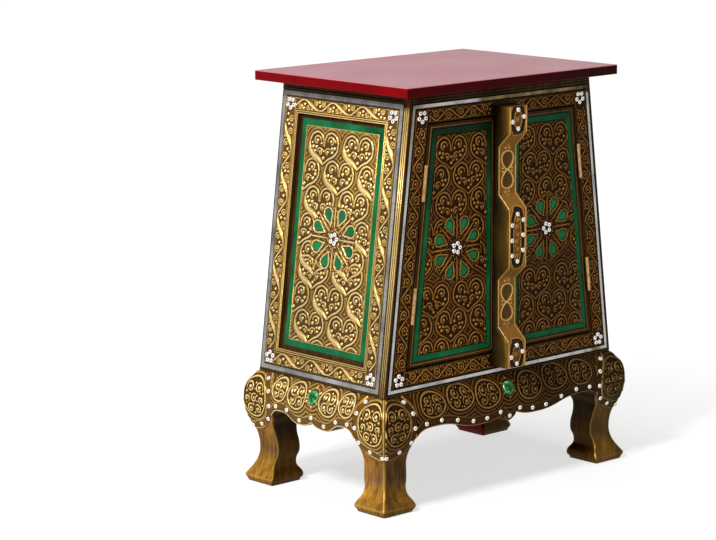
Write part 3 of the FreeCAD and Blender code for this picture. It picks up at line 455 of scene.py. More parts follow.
def heart(f, x, top, broad):
    """A heart of two loops whose outer lines meet in a point below, filled with hooks and berries."""
    thin = (1.8, 1.85) if broad else (1.6, 1.7)
    for side in (-1, 1):
        marks = [(x + side * a, top + b) for a, b in LOOP + TAIL[1:]]
        for a, b in zip(marks, marks[1:]):
            f.straight(a, b, 1.5, 1.6)
        tail = heart_line(TAIL, x, top, side)
        f.stroke(heart_line(LOOP, x, top, side), *thin, 0.7, 1.0)
        if not broad:
            f.stroke(tail, *thin, 1.0, 0.8)
        elif side < 0:
            f.stroke(tail, 5.2, 2.8, 0.4, 0.4)
            for off in (-0.9, 2.3):
                f.groove(tail[8:-8] + (off, off), 0.5, 1.9)
        else:
            f.stroke(tail, 2.3, 2.0, 0.8, 0.7)
        for a, b, r, way, w in ((14.6, -12.4, 7.4, side, 1.8), (8.4, -28.2, 6.0, -side, 1.6)):
            du, dv = rng.normal(0, 0.4, 2)
            curl(f, x + side * a + du, top + b + dv, r, 90 + way * 95, -way * 265, w, 1.8, 0.43)
        berries(f, [(x + side * 22.4, top - 21.4), (x + side * 18.4, top - 27.6)], 3.0, 2.3)
    f.ball(x, top - 37, 3.0, 2.2)
    f.fill(heart_outline(x, top), 2.8, 2.1, 6.4)


def hearts(f, columns, pitch, high, low, floor, flower_at, broad):
    """Hearts down from high and up from low with a flower between, odd columns half a pitch further in."""
    middle = flower_at[1] - 20
    places = []
    for x, odd in columns:
        shift = pitch / 2 * odd
        places += [(x, top) for top in high - shift - pitch * np.arange(4) if top > middle]
        places += [(x, top) for top in low + shift + pitch * np.arange(-1, 3) if floor < top <= middle]
    f.reed([heart_outline(x, top) for x, top in places])
    for x, top in places:
        heart(f, x, top, broad)
    flower(f, flower_at)


def petal(i, grow, middle):
    """Outline of a flower's petal: a teardrop with its point inward, offset outward by grow."""
    r = PETAL_R + grow
    tip = PETAL_TIP - 1.8 * grow
    lean = math.acos(r / (PETAL_AT - tip))
    a = np.linspace(-(math.pi - lean), math.pi - lean, PETAL_POINTS - 1)
    points = np.stack([PETAL_AT + r * np.cos(a), r * np.sin(a)], -1)
    return turned(np.vstack([points, [[tip, 0]]]), 22.5 + 45 * i) + middle


def flower(f, middle):
    """Outlines of the eight petals, rays between them and a ring round the middle."""
    x, y = middle
    f.clear(x, y, 47.0, 0.3)
    for i in range(8):
        for a, b, r in ((46.5, 11, 4.6), (46.5, -11, 4.6), (31.5, 5.5, 3.4), (31.5, -5.5, 3.4)):
            cx, cy = turned(np.array([a, b]), 45 * i) + middle
            curl(f, cx, cy, r, 45 * i + (150 if b > 0 else 210), 260 if b > 0 else -260, 1.2, 1.5, 0.5)
        ray = turned(np.array([(13.0, 0), (20, 0), (30, 0), (41, 0), (51, 0)]), 45 * i) + middle
        f.stroke(ray, 1.8, 1.9, 0.6, 0.5)
        for side in (-1, 1):
            arm = np.array([(26.0, side * 1.0), (20, side * 3.2), (15.5, side * 5.6)])
            f.stroke(turned(arm, 45 * i) + middle, 1.0, 1.4, 0.6, 0.5)
    f.fill(oval(x, y, 46, 46), 2.0, 1.6, 4.8)
    for i in range(8):
        f.level(petal(i, 2.6, middle), 0.0)
        line = petal(i, 1.9, middle)
        f.stroke(np.vstack([line[-1:], line]), 1.35, 2.0)
    f.clear(x, y, 11.0)
    for bx, by in oval(x, y, 12, 12, 21)[:-1]:
        f.ball(bx, by, 1.2, 1.1)


def strip(start, end, middle, reach, tall):
    """Outline of the strip that a vine runs in."""
    box = np.array([(start, -reach), (end, -reach), (end, reach), (start, reach)]) + (0, middle)
    return box[:, ::-1] if tall else box


def vine(f, start, end, middle, reach, tall):
    """A running vine: broad slanting leaves and thin stems, with curls and berries between them."""
    count = max(1, round((end - start) / (66 if tall else 64)))
    p = (end - start) / count
    k = reach / 8.5
    spin = -1 if tall else 1

    def put(a, b):
        s, t = start + i * p + a * p / 64.0, middle + b * k
        return (t, s) if tall else (s, t)

    for i in range(count):
        stem = [put(-14, -8.4), put(-8, -7), put(0, -0.5), put(8, 6.5), put(14, 8.4)]
        f.stroke(stem, 1.7, 1.8, 0.7, 0.7)
        leaf = [put(14, 8.4), put(21, 6.8), put(31, 0.5), put(42, -6.6), put(50, -8.4)]
        f.stroke(leaf, 3.5 * k, 2.5, 0.3, 0.3)
        f.stroke([put(22, 8.6), put(30, 5.5), put(39, -1), put(46, -5.5)], 1.0, 1.4, 0.5, 0.4)
        for a, b, r, way in ((7, -4.0, 5.0, 1), (24.5, -4.2, 5.0, -1), (41, 4.4, 4.8, 1), (57, 4.2, 4.8, -1)):
            curl(f, *put(a, b), r * k, 0 if tall else 90, 400 * way * spin, 1.5, 1.75, 0.48)
        berries(f, [put(15.5, 0.5), put(49, 7), put(49.5, -0.5), put(33, -6.5)], 2.4, 2.1)
    f.fill(strip(start, end, middle, reach, tall), 2.4, 2.0, 5.6)


def spiral_vine(f, start, end, middle, reach, tall):
    """A waving stem with a spiral in each bend."""
    count = max(2, round((end - start) / 23))
    p = (end - start) / count

    def put(steps, t):
        s = start + p * steps
        return (middle + t, s) if tall else (s, middle + t)

    ways = [1 if i % 2 else -1 for i in range(count)]
    stem = [put(i + 0.5 * k, k * way * reach * 0.92) for i, way in enumerate(ways) for k in (0, 1)]
    f.stroke(stem, 1.7, 1.75)
    for i, way in enumerate(ways):
        turn = way * (-1 if tall else 1)
        start_angle = (0 if way > 0 else 180) + (0 if tall else 90)
        curl(f, *put(i + 0.5, -way * reach * 0.2), reach * 0.74, start_angle, 430 * turn, 1.55, 1.8, 0.36)
        curl(f, *put(i + 0.02, way * reach * 0.72), reach * 0.3, 90, 360 * turn, 1.0, 1.4, 0.45)
        berries(f, [put(i + 0.24, -way * reach * 0.86), put(i + 0.8, -way * reach * 0.9)], 2.0, 1.8)
    f.fill(strip(start, end, middle, reach, tall), 2.0, 1.6, 5.0)


# Materials
class Nodes:
    """Short calls for a node tree, in which a value is a number, a colour or another node's output."""

    def __init__(self, tree):
        self.tree = tree

    def put(self, socket, value):
        if isinstance(value, bpy.types.NodeSocket):
            self.tree.links.new(value, socket)
        elif socket.type == "RGBA":
            socket.default_value = (*value, 1)
        else:
            socket.default_value = value

    def add(self, kind, output, inputs=None, **settings):
        """An output of a new node whose inputs are linked or set."""
        node = self.tree.nodes.new("ShaderNode" + kind)
        for name, value in settings.items():
            setattr(node, name, value)
        for key, value in (inputs or {}).items():
            self.put(node.inputs[key], value)
        return node.outputs[output]

    def math(self, operation, a, b=0.0):
        return self.add("Math", 0, {0: a, 1: b}, operation=operation)

    def plus(self, a, b):
        return self.math("ADD", a, b)

    def times(self, a, b):
        return self.math("MULTIPLY", a, b)

    def larger(self, a, b):
        return self.math("MAXIMUM", a, b)

    def swing(self, value, amount):
        """A noise as a change about zero."""
        return self.times(self.math("SUBTRACT", value, 0.5), amount)

    def seen(self):
        """1 for the rays that show the background."""
        kinds = ("Camera", "Transmission", "Glossy")
        camera, clear, glossy = (self.add("LightPath", "Is %s Ray" % kind) for kind in kinds)
        return self.larger(self.larger(camera, clear), glossy)


class Paint(Nodes):
    """A material that is put together with short calls."""

    def __init__(self, name):
        self.material = bpy.data.materials.new(name)
        self.material.use_nodes = True
        super().__init__(self.material.node_tree)

    def noise(self, scale, detail=4.0, rough=0.55, stretch=None):
        place = self.add("TexCoord", "Object")
        if stretch:
            place = self.add("Mapping", "Vector", {"Vector": place, "Scale": stretch})
        inputs = {"Vector": place, "Scale": scale, "Detail": detail, "Roughness": rough}
        return self.add("TexNoise", "Fac", inputs)

    def ramp(self, value, *stops):
        """A colour or grey level that follows a value, from stops of (value, level)."""
        node = self.tree.nodes.new("ShaderNodeValToRGB")
        marks = node.color_ramp.elements
        while len(marks) < len(stops):
            marks.new(0.5)
        for mark, (at, level) in zip(marks, stops):
            mark.position = at
            mark.color = (*level, 1) if isinstance(level, tuple) else (level, level, level, 1)
        self.put(node.inputs["Fac"], value)
        return node.outputs["Color"]

    def mixed(self, factor, a, b, how="MIX"):
        return self.add("Mix", 2, {0: factor, 6: a, 7: b}, data_type="RGBA", blend_type=how)

    def shaded(self, colour, by):
        return self.mixed(1.0, colour, by, "MULTIPLY")

    def tone(self):
        return self.add("Attribute", "Fac", attribute_name="tone")

    def where(self, axis):
        """One coordinate on the object, in metres."""
        return self.add("SeparateXYZ", axis, {0: self.add("TexCoord", "Object")})

    def normal(self, axis, kind="Normal"):
        """One coordinate of the direction that the surface faces."""
        return self.add("SeparateXYZ", axis, {0: self.add("NewGeometry", kind)})

    def between(self, value, low, high):
        """0 at low and 1 at high, smoothly between them."""
        inputs = {"Value": value, "From Min": low, "From Max": high}
        return self.add("MapRange", "Result", inputs, interpolation_type="SMOOTHSTEP")

    def fade(self, axis, stops):
        """A grey level that follows one coordinate of the object, from stops of (metres, level)."""
        return self.ramp(self.plus(self.where(axis), 0.3), *((0.3 + at, level) for at, level in stops))

    def finish(self, colour, rough, metal=0.0, shine=0.5, bump=None, more=None):
        """Set the shader; bump is a height, its strength and its distance in metres."""
        shader = self.tree.nodes["Principled BSDF"]
        values = {"Base Color": colour, "Roughness": rough, "Metallic": metal, "Specular IOR Level": shine}
        values.update(more or {})
        if bump:
            inputs = dict(zip(("Height", "Strength", "Distance"), bump))
            values["Normal"] = self.add("Bump", "Normal", inputs)
        for name, value in values.items():
            self.put(shader.inputs[name], value)
        return self.material


# Gold: stops from the ground to the crests, in a lighter copy for the lit sides and darker copies for the
# front and aprons, which are painted shade, and the painted shading along the object
GOLD_GLOSS = {"Specular Tint": (1.0, 0.80, 0.42)}
LIT_SIDE_STOPS = [(0.0, (0.043, 0.018, 0.0033)), (0.3, (0.102, 0.048, 0.008)), (0.6, (0.30, 0.157, 0.026)),
              (0.85, (0.60, 0.37, 0.092)), (1.0, (0.95, 0.74, 0.33))]
SHADED_FRONT_STOPS = [(0.0, (0.011, 0.0036, 0.0006)), (0.3, (0.032, 0.0102, 0.0012)), (0.6, (0.115, 0.040, 0.0045)),
               (0.85, (0.24, 0.097, 0.0145)), (1.0, (0.45, 0.22, 0.05))]
SHADED_APRON_STOPS = [(at, (0.74 * r, 0.84 * g, 1.1 * b)) for at, (r, g, b) in SHADED_FRONT_STOPS]
BAR_STOPS = [(0.0, (0.010, 0.005, 0.002)), (0.1, (0.03, 0.015, 0.004)), (0.22, (0.26, 0.116, 0.022)),
             (0.32, (0.36, 0.165, 0.030)), (0.7, (0.54, 0.29, 0.07)), (1.0, (0.80, 0.57, 0.24))]
# Painted shading along the object, as (metres, share): the front, aprons and legs darken towards the right,
# and the sides darken lower down and are painted lighter at the top
FRONT_PAINTED_SHADE = [(-0.06, 1.0), (0.1, 0.66), (0.2, 0.74)]
BASE_PAINTED_SHADE = [(-0.06, 1.0), (0.1, 0.6), (0.24, 0.42)]
LEG_PAINTED_SHADE = [(-0.06, 1.0), (0.1, 0.78), (0.24, 0.72)]
SIDE_PAINTED_SHADING = [(0.17, 1.0), (0.21, 0.84), (0.33, 0.9), (0.4, 1.0), (0.53, 1.0), (0.56, 1.2)]


def gilded(name, stops, metal, rough, bare, bare_share, shine, axis="X", fade=None):
    """Gold leaf over a dark ground: the height of the relief sets how much gold is left; where given, painted
    light and shade follow one axis.
    """
    p = Paint(name)
    tone = p.tone()
    level = p.plus(tone, p.swing(p.noise(260, 5, 0.6), 0.2))
    patches = p.ramp(p.noise(34, 3), (0.5, 0.0), (0.72, bare_share))
    shallow = p.ramp(tone, (0.25, 1.0), (0.75, 0.15))
    colour = p.mixed(p.times(patches, shallow), p.ramp(level, *stops), bare)
    colour = p.shaded(colour, p.ramp(p.noise(11, 2), (0.3, 0.78), (0.7, 1.12)))
    if fade:
        colour = p.shaded(colour, p.fade(axis, fade))
    roughness = p.ramp(level, (0.1, rough[0]), (0.8, rough[1]))
    metallic = p.ramp(level, (0.15, metal[0]), (0.7, metal[1]))
    return p.finish(colour, roughness, metallic, shine, (p.noise(900, 3, 0.6), 0.25, 0.0004), GOLD_GLOSS)


def shaded_bar_side_gold():
    """Brown gold on the sides of the centre bar, kept dark and darker still towards the doors, as painted
    shade.
    """
    p = Paint("shaded_bar_side_gold")
    streak = p.noise(60, 5, 0.6, (1, 1, 0.12))
    out = p.times(p.plus(p.where("Y"), 0.1325), -1 / 0.03)
    level = p.plus(p.plus(out, p.swing(p.noise(16, 3), 0.9)), p.swing(streak, 0.5))
    colour = p.ramp(level, (0.1, (0.008, 0.005, 0.002)), (0.5, (0.035, 0.021, 0.005)),
                    (0.85, (0.085, 0.045, 0.007)), (1.0, (0.20, 0.11, 0.02)))
    rough = p.ramp(streak, (0.3, 0.5), (0.7, 0.36))
    return p.finish(colour, rough, 0.0, 0.06, (p.noise(420, 4, 0.6, (1, 1, 0.2)), 0.2, 0.0004))


def shaded_dark_gold():
    """Brown wood with a little gold left, for rims, rebates and the backs of the frames; its darkness is
    partly painted shade, in the rebates and in the lines under the top.
    """
    p = Paint("shaded_dark_gold")
    level = p.plus(p.times(p.noise(260, 5, 0.6, (1, 1, 0.04)), 0.65), p.times(p.noise(9, 3), 0.35))
    colour = p.ramp(level, (0.36, (0.030, 0.014, 0.005)), (0.52, (0.062, 0.031, 0.009)),
                    (0.68, (0.135, 0.073, 0.021)))
    rough = p.ramp(level, (0.3, 0.6), (0.75, 0.4))
    metallic = p.ramp(level, (0.3, 0.0), (0.75, 0.12))
    return p.finish(colour, rough, metallic, 0.06, (p.noise(500, 4, 0.6), 0.22, 0.0004))


def leg_gold(name, red_inside):
    """Carved gold on the knee and brushed amber gold on the plain shin, told apart by the tone."""
    p = Paint(name)
    tone = p.tone()
    level = p.plus(tone, p.swing(p.noise(260, 5, 0.6), 0.5))
    across, along = (p.math("ABSOLUTE", p.normal(axis, "True Normal")) for axis in "XY")
    front = p.ramp(p.plus(p.math("SUBTRACT", along, across), 0.5), (0.35, 0.0), (0.65, 1.0))
    # Painted light and shade on the knee: faces to the sides take the lit sides' gold, and faces to the front
    # and back the darker apron gold
    carved = p.mixed(front, p.ramp(level, *LIT_SIDE_STOPS), p.ramp(level, *SHADED_APRON_STOPS))
    streak = p.noise(26, 4, 0.55, (1, 1, 0.3))
    brushed = p.noise(150, 4, 0.65, (1, 1, 0.12))
    height = p.plus(p.times(p.where("Z"), 10.0), p.swing(streak, 0.25))
    plain = p.ramp(height, (0.0, (0.24, 0.125, 0.022)), (0.3, (0.27, 0.14, 0.026)),
                   (0.5, (0.12, 0.063, 0.028)), (0.8, (0.18, 0.085, 0.018)))
    plain = p.shaded(plain, p.ramp(streak, (0.3, 0.5), (0.7, 1.3)))
    plain = p.shaded(plain, p.ramp(brushed, (0.3, 0.42), (0.7, 1.62)))
    # Painted highlight along the shin's corners and toe edge, partly rubbed wear on the corners
    edge_highlight = p.ramp(p.plus(tone, 1.0), (0.15, 0.0), (0.55, 0.45))
    plain = p.mixed(edge_highlight, plain, (0.42, 0.26, 0.08))
    # Painted light and shade on the shin: faces to the sides are lighter and yellower, and faces to the front
    # and back darker
    plain = p.shaded(plain, p.mixed(front, (1.75, 1.65, 1.2), (0.8, 0.72, 0.55)))
    # Inner faces: dark brown, darkest high up under the knee, as painted shade; on the back legs the inner
    # faces to the sides are red lacquer
    hidden = p.ramp(height, (0.05, (0.085, 0.038, 0.005)), (0.45, (0.07, 0.031, 0.0045)),
                    (0.85, (0.018, 0.009, 0.003)))
    hidden = p.shaded(hidden, p.ramp(brushed, (0.3, 0.5), (0.7, 1.5)))
    if red_inside:
        hidden = p.mixed(front, (0.15, 0.004, 0.008), hidden)
    outer = p.ramp(p.plus(tone, 1.5), (0.15, 0.0), (0.5, 1.0))
    knee = p.ramp(p.plus(tone, 0.5), (0.2, 0.0), (0.35, 1.0))
    colour = p.mixed(knee, p.mixed(outer, hidden, plain), carved)
    # Painted shade: faces to the front and back darken towards the right, the knee more than the shin
    fade = p.mixed(knee, p.fade("X", LEG_PAINTED_SHADE), p.fade("X", BASE_PAINTED_SHADE))
    colour = p.shaded(colour, p.mixed(front, (1.0, 1.0, 1.0), fade))
    rough = p.ramp(streak, (0.3, 0.4), (0.7, 0.26))
    return p.finish(colour, rough, 0.35, 0.08, (p.noise(500, 4, 0.6), 0.12, 0.0004), GOLD_GLOSS)


def painted_groove_shade():
    """Near-black painted shade in the grooves along the glass."""
    p = Paint("painted_groove_shade")
    level = p.noise(120, 4, 0.6)
    colour = p.ramp(level, (0.3, (0.006, 0.004, 0.002)), (0.7, (0.030, 0.017, 0.006)))
    return p.finish(colour, p.ramp(level, (0.3, 0.7), (0.7, 0.5)), 0.0, 0.03, (p.noise(500, 3), 0.2, 0.0003))


def red_lacquer():
    """Glossy red: paler on the top, partly a painted sheen, with a painted highlight along the top's rounded
    edge, and darkened on faces to the front and back.
    """
    p = Paint("red_lacquer")
    edge = p.ramp(p.noise(16, 4, 0.6), (0.3, (0.15, 0.0006, 0.002)), (0.7, (0.27, 0.001, 0.0035)))
    top = p.ramp(p.noise(6, 4, 0.6), (0.3, (0.35, 0.080, 0.105)), (0.7, (0.40, 0.090, 0.120)))
    # Faces to the front and back: on the top's edge painted shade, darker towards the right; below the top,
    # darkened to 0.4
    shade_to_the_right = p.ramp(p.between(p.where("X"), -0.2, 0.2), (0.0, 0.42), (1.0, 0.16))
    front_shade = p.mixed(p.between(p.where("Z"), 0.582, 0.586), (0.4, 0.4, 0.4), shade_to_the_right)
    front = p.ramp(p.math("ABSOLUTE", p.normal("Y")), (0.6, 0.0), (0.9, 1.0))
    edge = p.shaded(edge, p.mixed(front, (1.0, 1.0, 1.0), front_shade))
    up = p.normal("Z")
    colour = p.mixed(p.ramp(up, (0.7, 0.0), (0.95, 1.0)), edge, top)
    # A painted highlight along the top's rounded edge
    edge_highlight = p.ramp(up, (0.2, 0.0), (0.5, 0.75), (0.85, 0.75), (0.99, 0.0))
    colour = p.mixed(edge_highlight, colour, (0.75, 0.24, 0.27))
    rough = p.ramp(p.noise(8, 4, 0.6), (0.35, 0.2), (0.7, 0.26))
    return p.finish(colour, rough, 0.0, 0.07, (p.noise(30, 3, 0.5), 0.03, 0.0004),
                    {"Specular Tint": (1.0, 0.12, 0.16)})


def mirror_glass(name, stops, metal, painted_reflections):
    """Narrow mirror strips; on the front, dark olive patches are painted reflections: on the top strip right
    of the middle, low on the right, and up the left strip.
    """
    p = Paint(name)
    colour = p.ramp(p.noise(28, 4, 0.55), *stops)
    if painted_reflections:
        # Painted dark reflections on parts of the front strips
        x, z = p.where("X"), p.where("Z")
        top = p.times(p.between(z, 0.558, 0.562), p.between(x, -0.055, -0.04))
        low = p.times(p.between(z, 0.181, 0.177), p.between(x, 0.11, 0.13))
        low = p.times(low, p.between(p.noise(22, 3), 0.42, 0.56))
        left = p.times(p.between(z, 0.44, 0.56), p.between(x, -0.15, -0.17))
        bare = p.larger(p.larger(top, low), p.times(left, 0.7))
        reflected_olive = p.ramp(p.noise(45, 3), (0.35, (0.03, 0.022, 0.009)), (0.68, (0.30, 0.22, 0.09)))
        colour = p.mixed(bare, colour, reflected_olive)
    rough = p.ramp(p.noise(40, 4, 0.6), (0.35, 0.16), (0.7, 0.36))
    return p.finish(colour, rough, metal, 0.1, (p.noise(30, 2), 0.06, 0.0006))


def green_glass(name, k, shine, shade_at_top=False):
    """Green glass over foil, k times as bright; the left door's sort is darkened towards its top by painted
    shade.
    """
    p = Paint(name)
    stops = ((0.3, (0.004, 0.070, 0.022)), (0.55, (0.007, 0.16, 0.052)), (0.8, (0.016, 0.25, 0.085)))
    colour = p.ramp(p.noise(14, 4, 0.6), *((at, (r * k, g * k, b * k)) for at, (r, g, b) in stops))
    if shade_at_top:
        colour = p.mixed(p.times(p.between(p.where("Z"), 0.38, 0.53), 0.8), colour, (0.008, 0.016, 0.006))
    rough = p.ramp(p.noise(90, 4, 0.6), (0.35, 0.1), (0.7, 0.24))
    return p.finish(colour, rough, 0.0, shine, (p.noise(60, 2), 0.1, 0.0006))


def gem_green():
    """Cut green stone: dark at its heart and pale along its rim, with painted glints where the tone of a
    facet is raised at random.
    """
    p = Paint("gem_glass")
    level = p.plus(p.tone(), p.swing(p.noise(150, 3), 0.5))
    colour = p.ramp(level, (0.1, (0.004, 0.075, 0.014)), (0.5, (0.012, 0.23, 0.050)),
                    (0.78, (0.045, 0.36, 0.09)), (1.0, (0.20, 0.58, 0.20)))
    rough = p.ramp(level, (0.2, 0.08), (0.8, 0.16))
    return p.finish(colour, rough, 0.0, 0.14, (p.noise(300, 2), 0.08, 0.0003))


def pearly(name, low, high, hole_shade):
    """Pearly beads, with painted shade darkening the inside of the pinhole."""
    p = Paint(name)
    cloud = p.noise(300, 3)
    pinhole_shade = p.ramp(p.tone(), (0.35, 1.0), (0.65, 0.0))
    colour = p.mixed(pinhole_shade, p.ramp(cloud, (0.3, low), (0.7, high)), hole_shade)
    rough = p.ramp(cloud, (0.3, 0.16), (0.7, 0.28))
    return p.finish(colour, rough, 0.65, bump=(p.noise(700, 2), 0.08, 0.0003))


def bare_metal(name, low, high, rough):
    """Hinges and screws, duller where they are darker."""
    p = Paint(name)
    cloud = p.noise(130, 5, 0.65)
    roughness = p.ramp(cloud, (0.3, rough + 0.18), (0.7, rough))
    colour = p.ramp(cloud, (0.3, low), (0.7, high))
    return p.finish(colour, roughness, 1.0, bump=(p.noise(800, 3), 0.1, 0.0003))


# The front's and aprons' gold has darker stops and a darker bare ground than the sides' gold: painted shade,
# with the sides' gold as the lit copy
SHADED_GOLD = {"metal": (0.0, 0.3), "rough": (0.5, 0.27), "bare": (0.04, 0.014, 0.005), "bare_share": 0.4}
lit_side_gold = gilded("carved_gold_side_lit", LIT_SIDE_STOPS, (0.0, 0.4), (0.45, 0.25), (0.14, 0.05, 0.015), 0.3, 0.3,
                   "Z", SIDE_PAINTED_SHADING)
shaded_front_gold = gilded("carved_gold_front_shaded", SHADED_FRONT_STOPS, shine=0.07, fade=FRONT_PAINTED_SHADE, **SHADED_GOLD)
shaded_apron_gold = gilded("carved_gold_apron_shaded", SHADED_APRON_STOPS, shine=0.05, fade=BASE_PAINTED_SHADE, **SHADED_GOLD)
bar_gold = gilded("bar_gold", BAR_STOPS, (0.1, 0.6), (0.45, 0.28), (0.10, 0.04, 0.012), 0.3, 0.1)
bar_side = shaded_bar_side_gold()
rim_gold_in_shade = shaded_dark_gold()
shade_in_grooves = painted_groove_shade()
SILVER = [(0.3, (0.30, 0.285, 0.265)), (0.5, (0.48, 0.47, 0.45)), (0.75, (0.62, 0.61, 0.59))]
GREY = [(0.3, (0.145, 0.135, 0.12)), (0.5, (0.30, 0.285, 0.265)), (0.75, (0.47, 0.455, 0.435))]
mirror = mirror_glass("silver_mirror", SILVER, 0.6, True)
grey_mirror = mirror_glass("grey_mirror", GREY, 0.4, False)
glass = green_glass("green_glass", 1.0, 0.08)
petal_glass = green_glass("petal_glass", 1.15, 0.15)
door_glass = green_glass("door_glass", 1.3, 0.04)
left_door_glass_shaded = green_glass("door_glass_shaded_at_top", 1.3, 0.04, True)
door_petal_glass = green_glass("door_petal_glass", 1.9, 0.06)
bead_white = pearly("white_bead", (0.86, 0.82, 0.78), (0.93, 0.90, 0.87), (0.09, 0.065, 0.055))
bead_cream = pearly("cream_bead", (0.88, 0.82, 0.71), (0.94, 0.89, 0.80), (0.45, 0.38, 0.30))
gem_glass = gem_green()
brass = bare_metal("brass", (0.26, 0.14, 0.05), (0.60, 0.38, 0.17), 0.28)
steel = bare_metal("steel", (0.35, 0.35, 0.35), (0.62, 0.62, 0.61), 0.3)

# CAD gilded wood takes the dark rim gold, which is partly painted shade where it shows in the rebates
BY_SLOT = {"red_lacquer": red_lacquer(), "gilded_wood": rim_gold_in_shade, "mirror": mirror, "green_glass": glass,
           "white_bead": bead_white, "brass": brass, "steel": steel}
for sub in frame["record"]["subparts"]:
    data = nodes[sub["node"]].data
    data.materials.clear()
    data.materials.append(BY_SLOT[sub["material_slot"]])
nodes["centre_bar"].data.materials[0] = bar_side
for side in ("left", "right"):
    nodes[side + "_side_mirror_strips"].data.materials[0] = grey_mirror
    # The left door's glass border carries painted shade towards its top
    nodes[side + "_door_glass_border"].data.materials[0] = left_door_glass_shaded if side == "left" else door_glass


# Doors
def door_relief(name, body, flip, flower_at):
    """Relief of a left-hand door, in its own frame with x from the hinge side to the bar."""
    low, high = DOOR_GLASS_LOW + DOOR_GLASS_W, DOOR_GLASS_HIGH - DOOR_GLASS_W
    right = DOOR_GLASS_BAR - DOOR_GLASS_W
    inset = 2.2

    def left(v):
        return -(door_half(v) - DOOR_GLASS_HINGE - DOOR_GLASS_W)

    f = Relief(-212, -30, low - 4, high + 5, GROUND)
    columns = [(-35.0 - 34.25 * i, i % 2) for i in range(5)]
    hearts(f, columns, pitch=77.3, high=521.8, low=275.0, floor=222, flower_at=flower_at, broad=False)
    f.straight((left(low) + inset, low), (left(high) + inset, high))
    f.straight((right - inset, low), (right - inset, high))
    for v in (low + inset, high - inset):
        f.straight((-210, v), (-30, v))
    relief_sheet(name, body, f, on_front, left, upright(right), low, high, shaded_front_gold, flip)


door_relief("left_door_relief", "left_door", False, LEFT_FLOWER)
door_relief("right_door_relief", "right_door", True, (-RIGHT_FLOWER[0], RIGHT_FLOWER[1]))


# Side panels
def side_relief(name, flip):
    half = SIDE_OPEN_HALF - SIDE_GLASS_W
    low, high = SIDE_OPEN_LOW + SIDE_GLASS_W, SIDE_OPEN_HIGH - SIDE_GLASS_W
    f = Relief(-80, 80, 48, 366, GROUND)
    columns = [(36.0 * i, 1 - i % 2) for i in range(-3, 4)]
    hearts(f, columns, pitch=78.8, high=355.68, low=98.78, floor=0, flower_at=SIDE_FLOWER, broad=True)
    for u in (-72.8, 72.8):
        f.straight((u, 50), (u, 364))
    for v in (55.5, 359.7):
        f.straight((-78, v), (78, v))
    relief_sheet(name, "cabinet", f, on_left_panel, upright(-half), upright(half), low, high, lit_side_gold, flip)


side_relief("left_panel_relief", False)
side_relief("right_panel_relief", True)


# Bands of the frames
def band(name, place, u0, u1, v0, v1, flip, clusters=()):
    """Vines on a stile or rail, with bare ground under the bead clusters."""
    f = Relief(u0, u1, v0, v1, GROUND)
    tall = v1 - v0 > u1 - u0
    if tall:
        start, end, middle, reach = v0, v1, (u0 + u1) / 2, (u1 - u0) / 2 - 2.2
    else:
        start, end, middle, reach = u0, u1, (v0 + v1) / 2, (v1 - v0) / 2 - 1.6
    if place is on_left:
        gap = 24 if tall else 4
        vine(f, start + gap, end - gap, middle, reach, tall)
    else:
        spiral_vine(f, start + (22 if tall else 3), end - (22 if tall else 2), middle, reach, tall)
    for u, v in clusters:
        f.clear(u, v, CLUSTER_R)
    if tall:
        for u in (u0 + 1, u1 - 1):
            f.straight((u, v0), (u, v1))
    for v in (v0 + 1, v1 - 1):
        f.straight((u0, v), (u1, v))
    # The sides take the lit gold and the front the darker gold that is painted shade
    paint = lit_side_gold if place is on_left else shaded_front_gold
    relief_sheet(name, "cabinet", f, place, upright(u0), upright(u1), v0, v1, paint, flip)


for flip, side in ((False, "left"), (True, "right")):
    band("front_%s_stile_relief" % side, on_left_stile, 12.3, 34.8, 179.0, BAND_TOP_Z, flip,
         [(24, z) for z in CLUSTERS_Z])
    band("front_top_rail_%s_relief" % side, on_front, -(half_width(555) - 35), -21.5, 545.2, BAND_TOP_Z, flip)
    band("front_bottom_rail_%s_relief" % side, on_front, -(half_width(188) - 35.5), -21.5, 178.8, 198.6, flip)
    low, high = up_side(178.9), up_side(BAND_TOP_Z)
    for end, u0, u1 in (("front", 96.2, 117.2), ("back", -117.2, -96.2)):
        band("%s_side_%s_stile_relief" % (side, end), on_left, u0, u1, low, high, flip,
             [(math.copysign(107, u0), up_side(z)) for z in CLUSTERS_Z])
    band("%s_side_top_rail_relief" % side, on_left, -96, 96, up_side(546.4), high, flip)
    band("%s_side_bottom_rail_relief" % side, on_left, -96, 96, low, up_side(197.4), flip)


# Thin mouldings
def moulding(name, body, lines, place, material, flip=False, r=0.95, tall=1.15, low=0.35, high=0.95,
             base=0.0):
    """Half-round beads along outlines of four or more points, or along open lines of two."""
    a = np.linspace(0, math.pi, 7)
    across = np.array([r, *(r * np.cos(a)), -r])
    up = np.array([-0.3, *(tall * np.sin(a)), -0.3])
    verts, faces, tone = [], [], []
    for points in lines:
        p = np.array(points, float)
        closed = len(p) > 2
        before = np.roll(p, 1, 0)
        after = np.roll(p, -1, 0)
        if not closed:
            before[0] = 2 * p[0] - p[1]
            after[-1] = 2 * p[-1] - p[-2]
        d0 = (p - before) / np.linalg.norm(p - before, axis=1)[:, None]
        d1 = (after - p) / np.linalg.norm(after - p, axis=1)[:, None]
        n0 = np.stack([d0[:, 1], -d0[:, 0]], -1)
        n1 = np.stack([d1[:, 1], -d1[:, 0]], -1)
        side = (n0 + n1) / (1 + (n0 * n1).sum(1))[:, None]
        uv = p[:, None, :] + side[:, None, :] * across[None, :, None]
        faces += loft(len(p), len(across), len(verts), closed)
        verts += place(uv[..., 0], uv[..., 1], base + up + 0 * uv[..., 0]).reshape(-1, 3).tolist()
        tone += (low + (high - low) * np.maximum(0, up) / tall).tolist() * len(p)
    build(name, body, verts, faces, material, tone, None, flip)


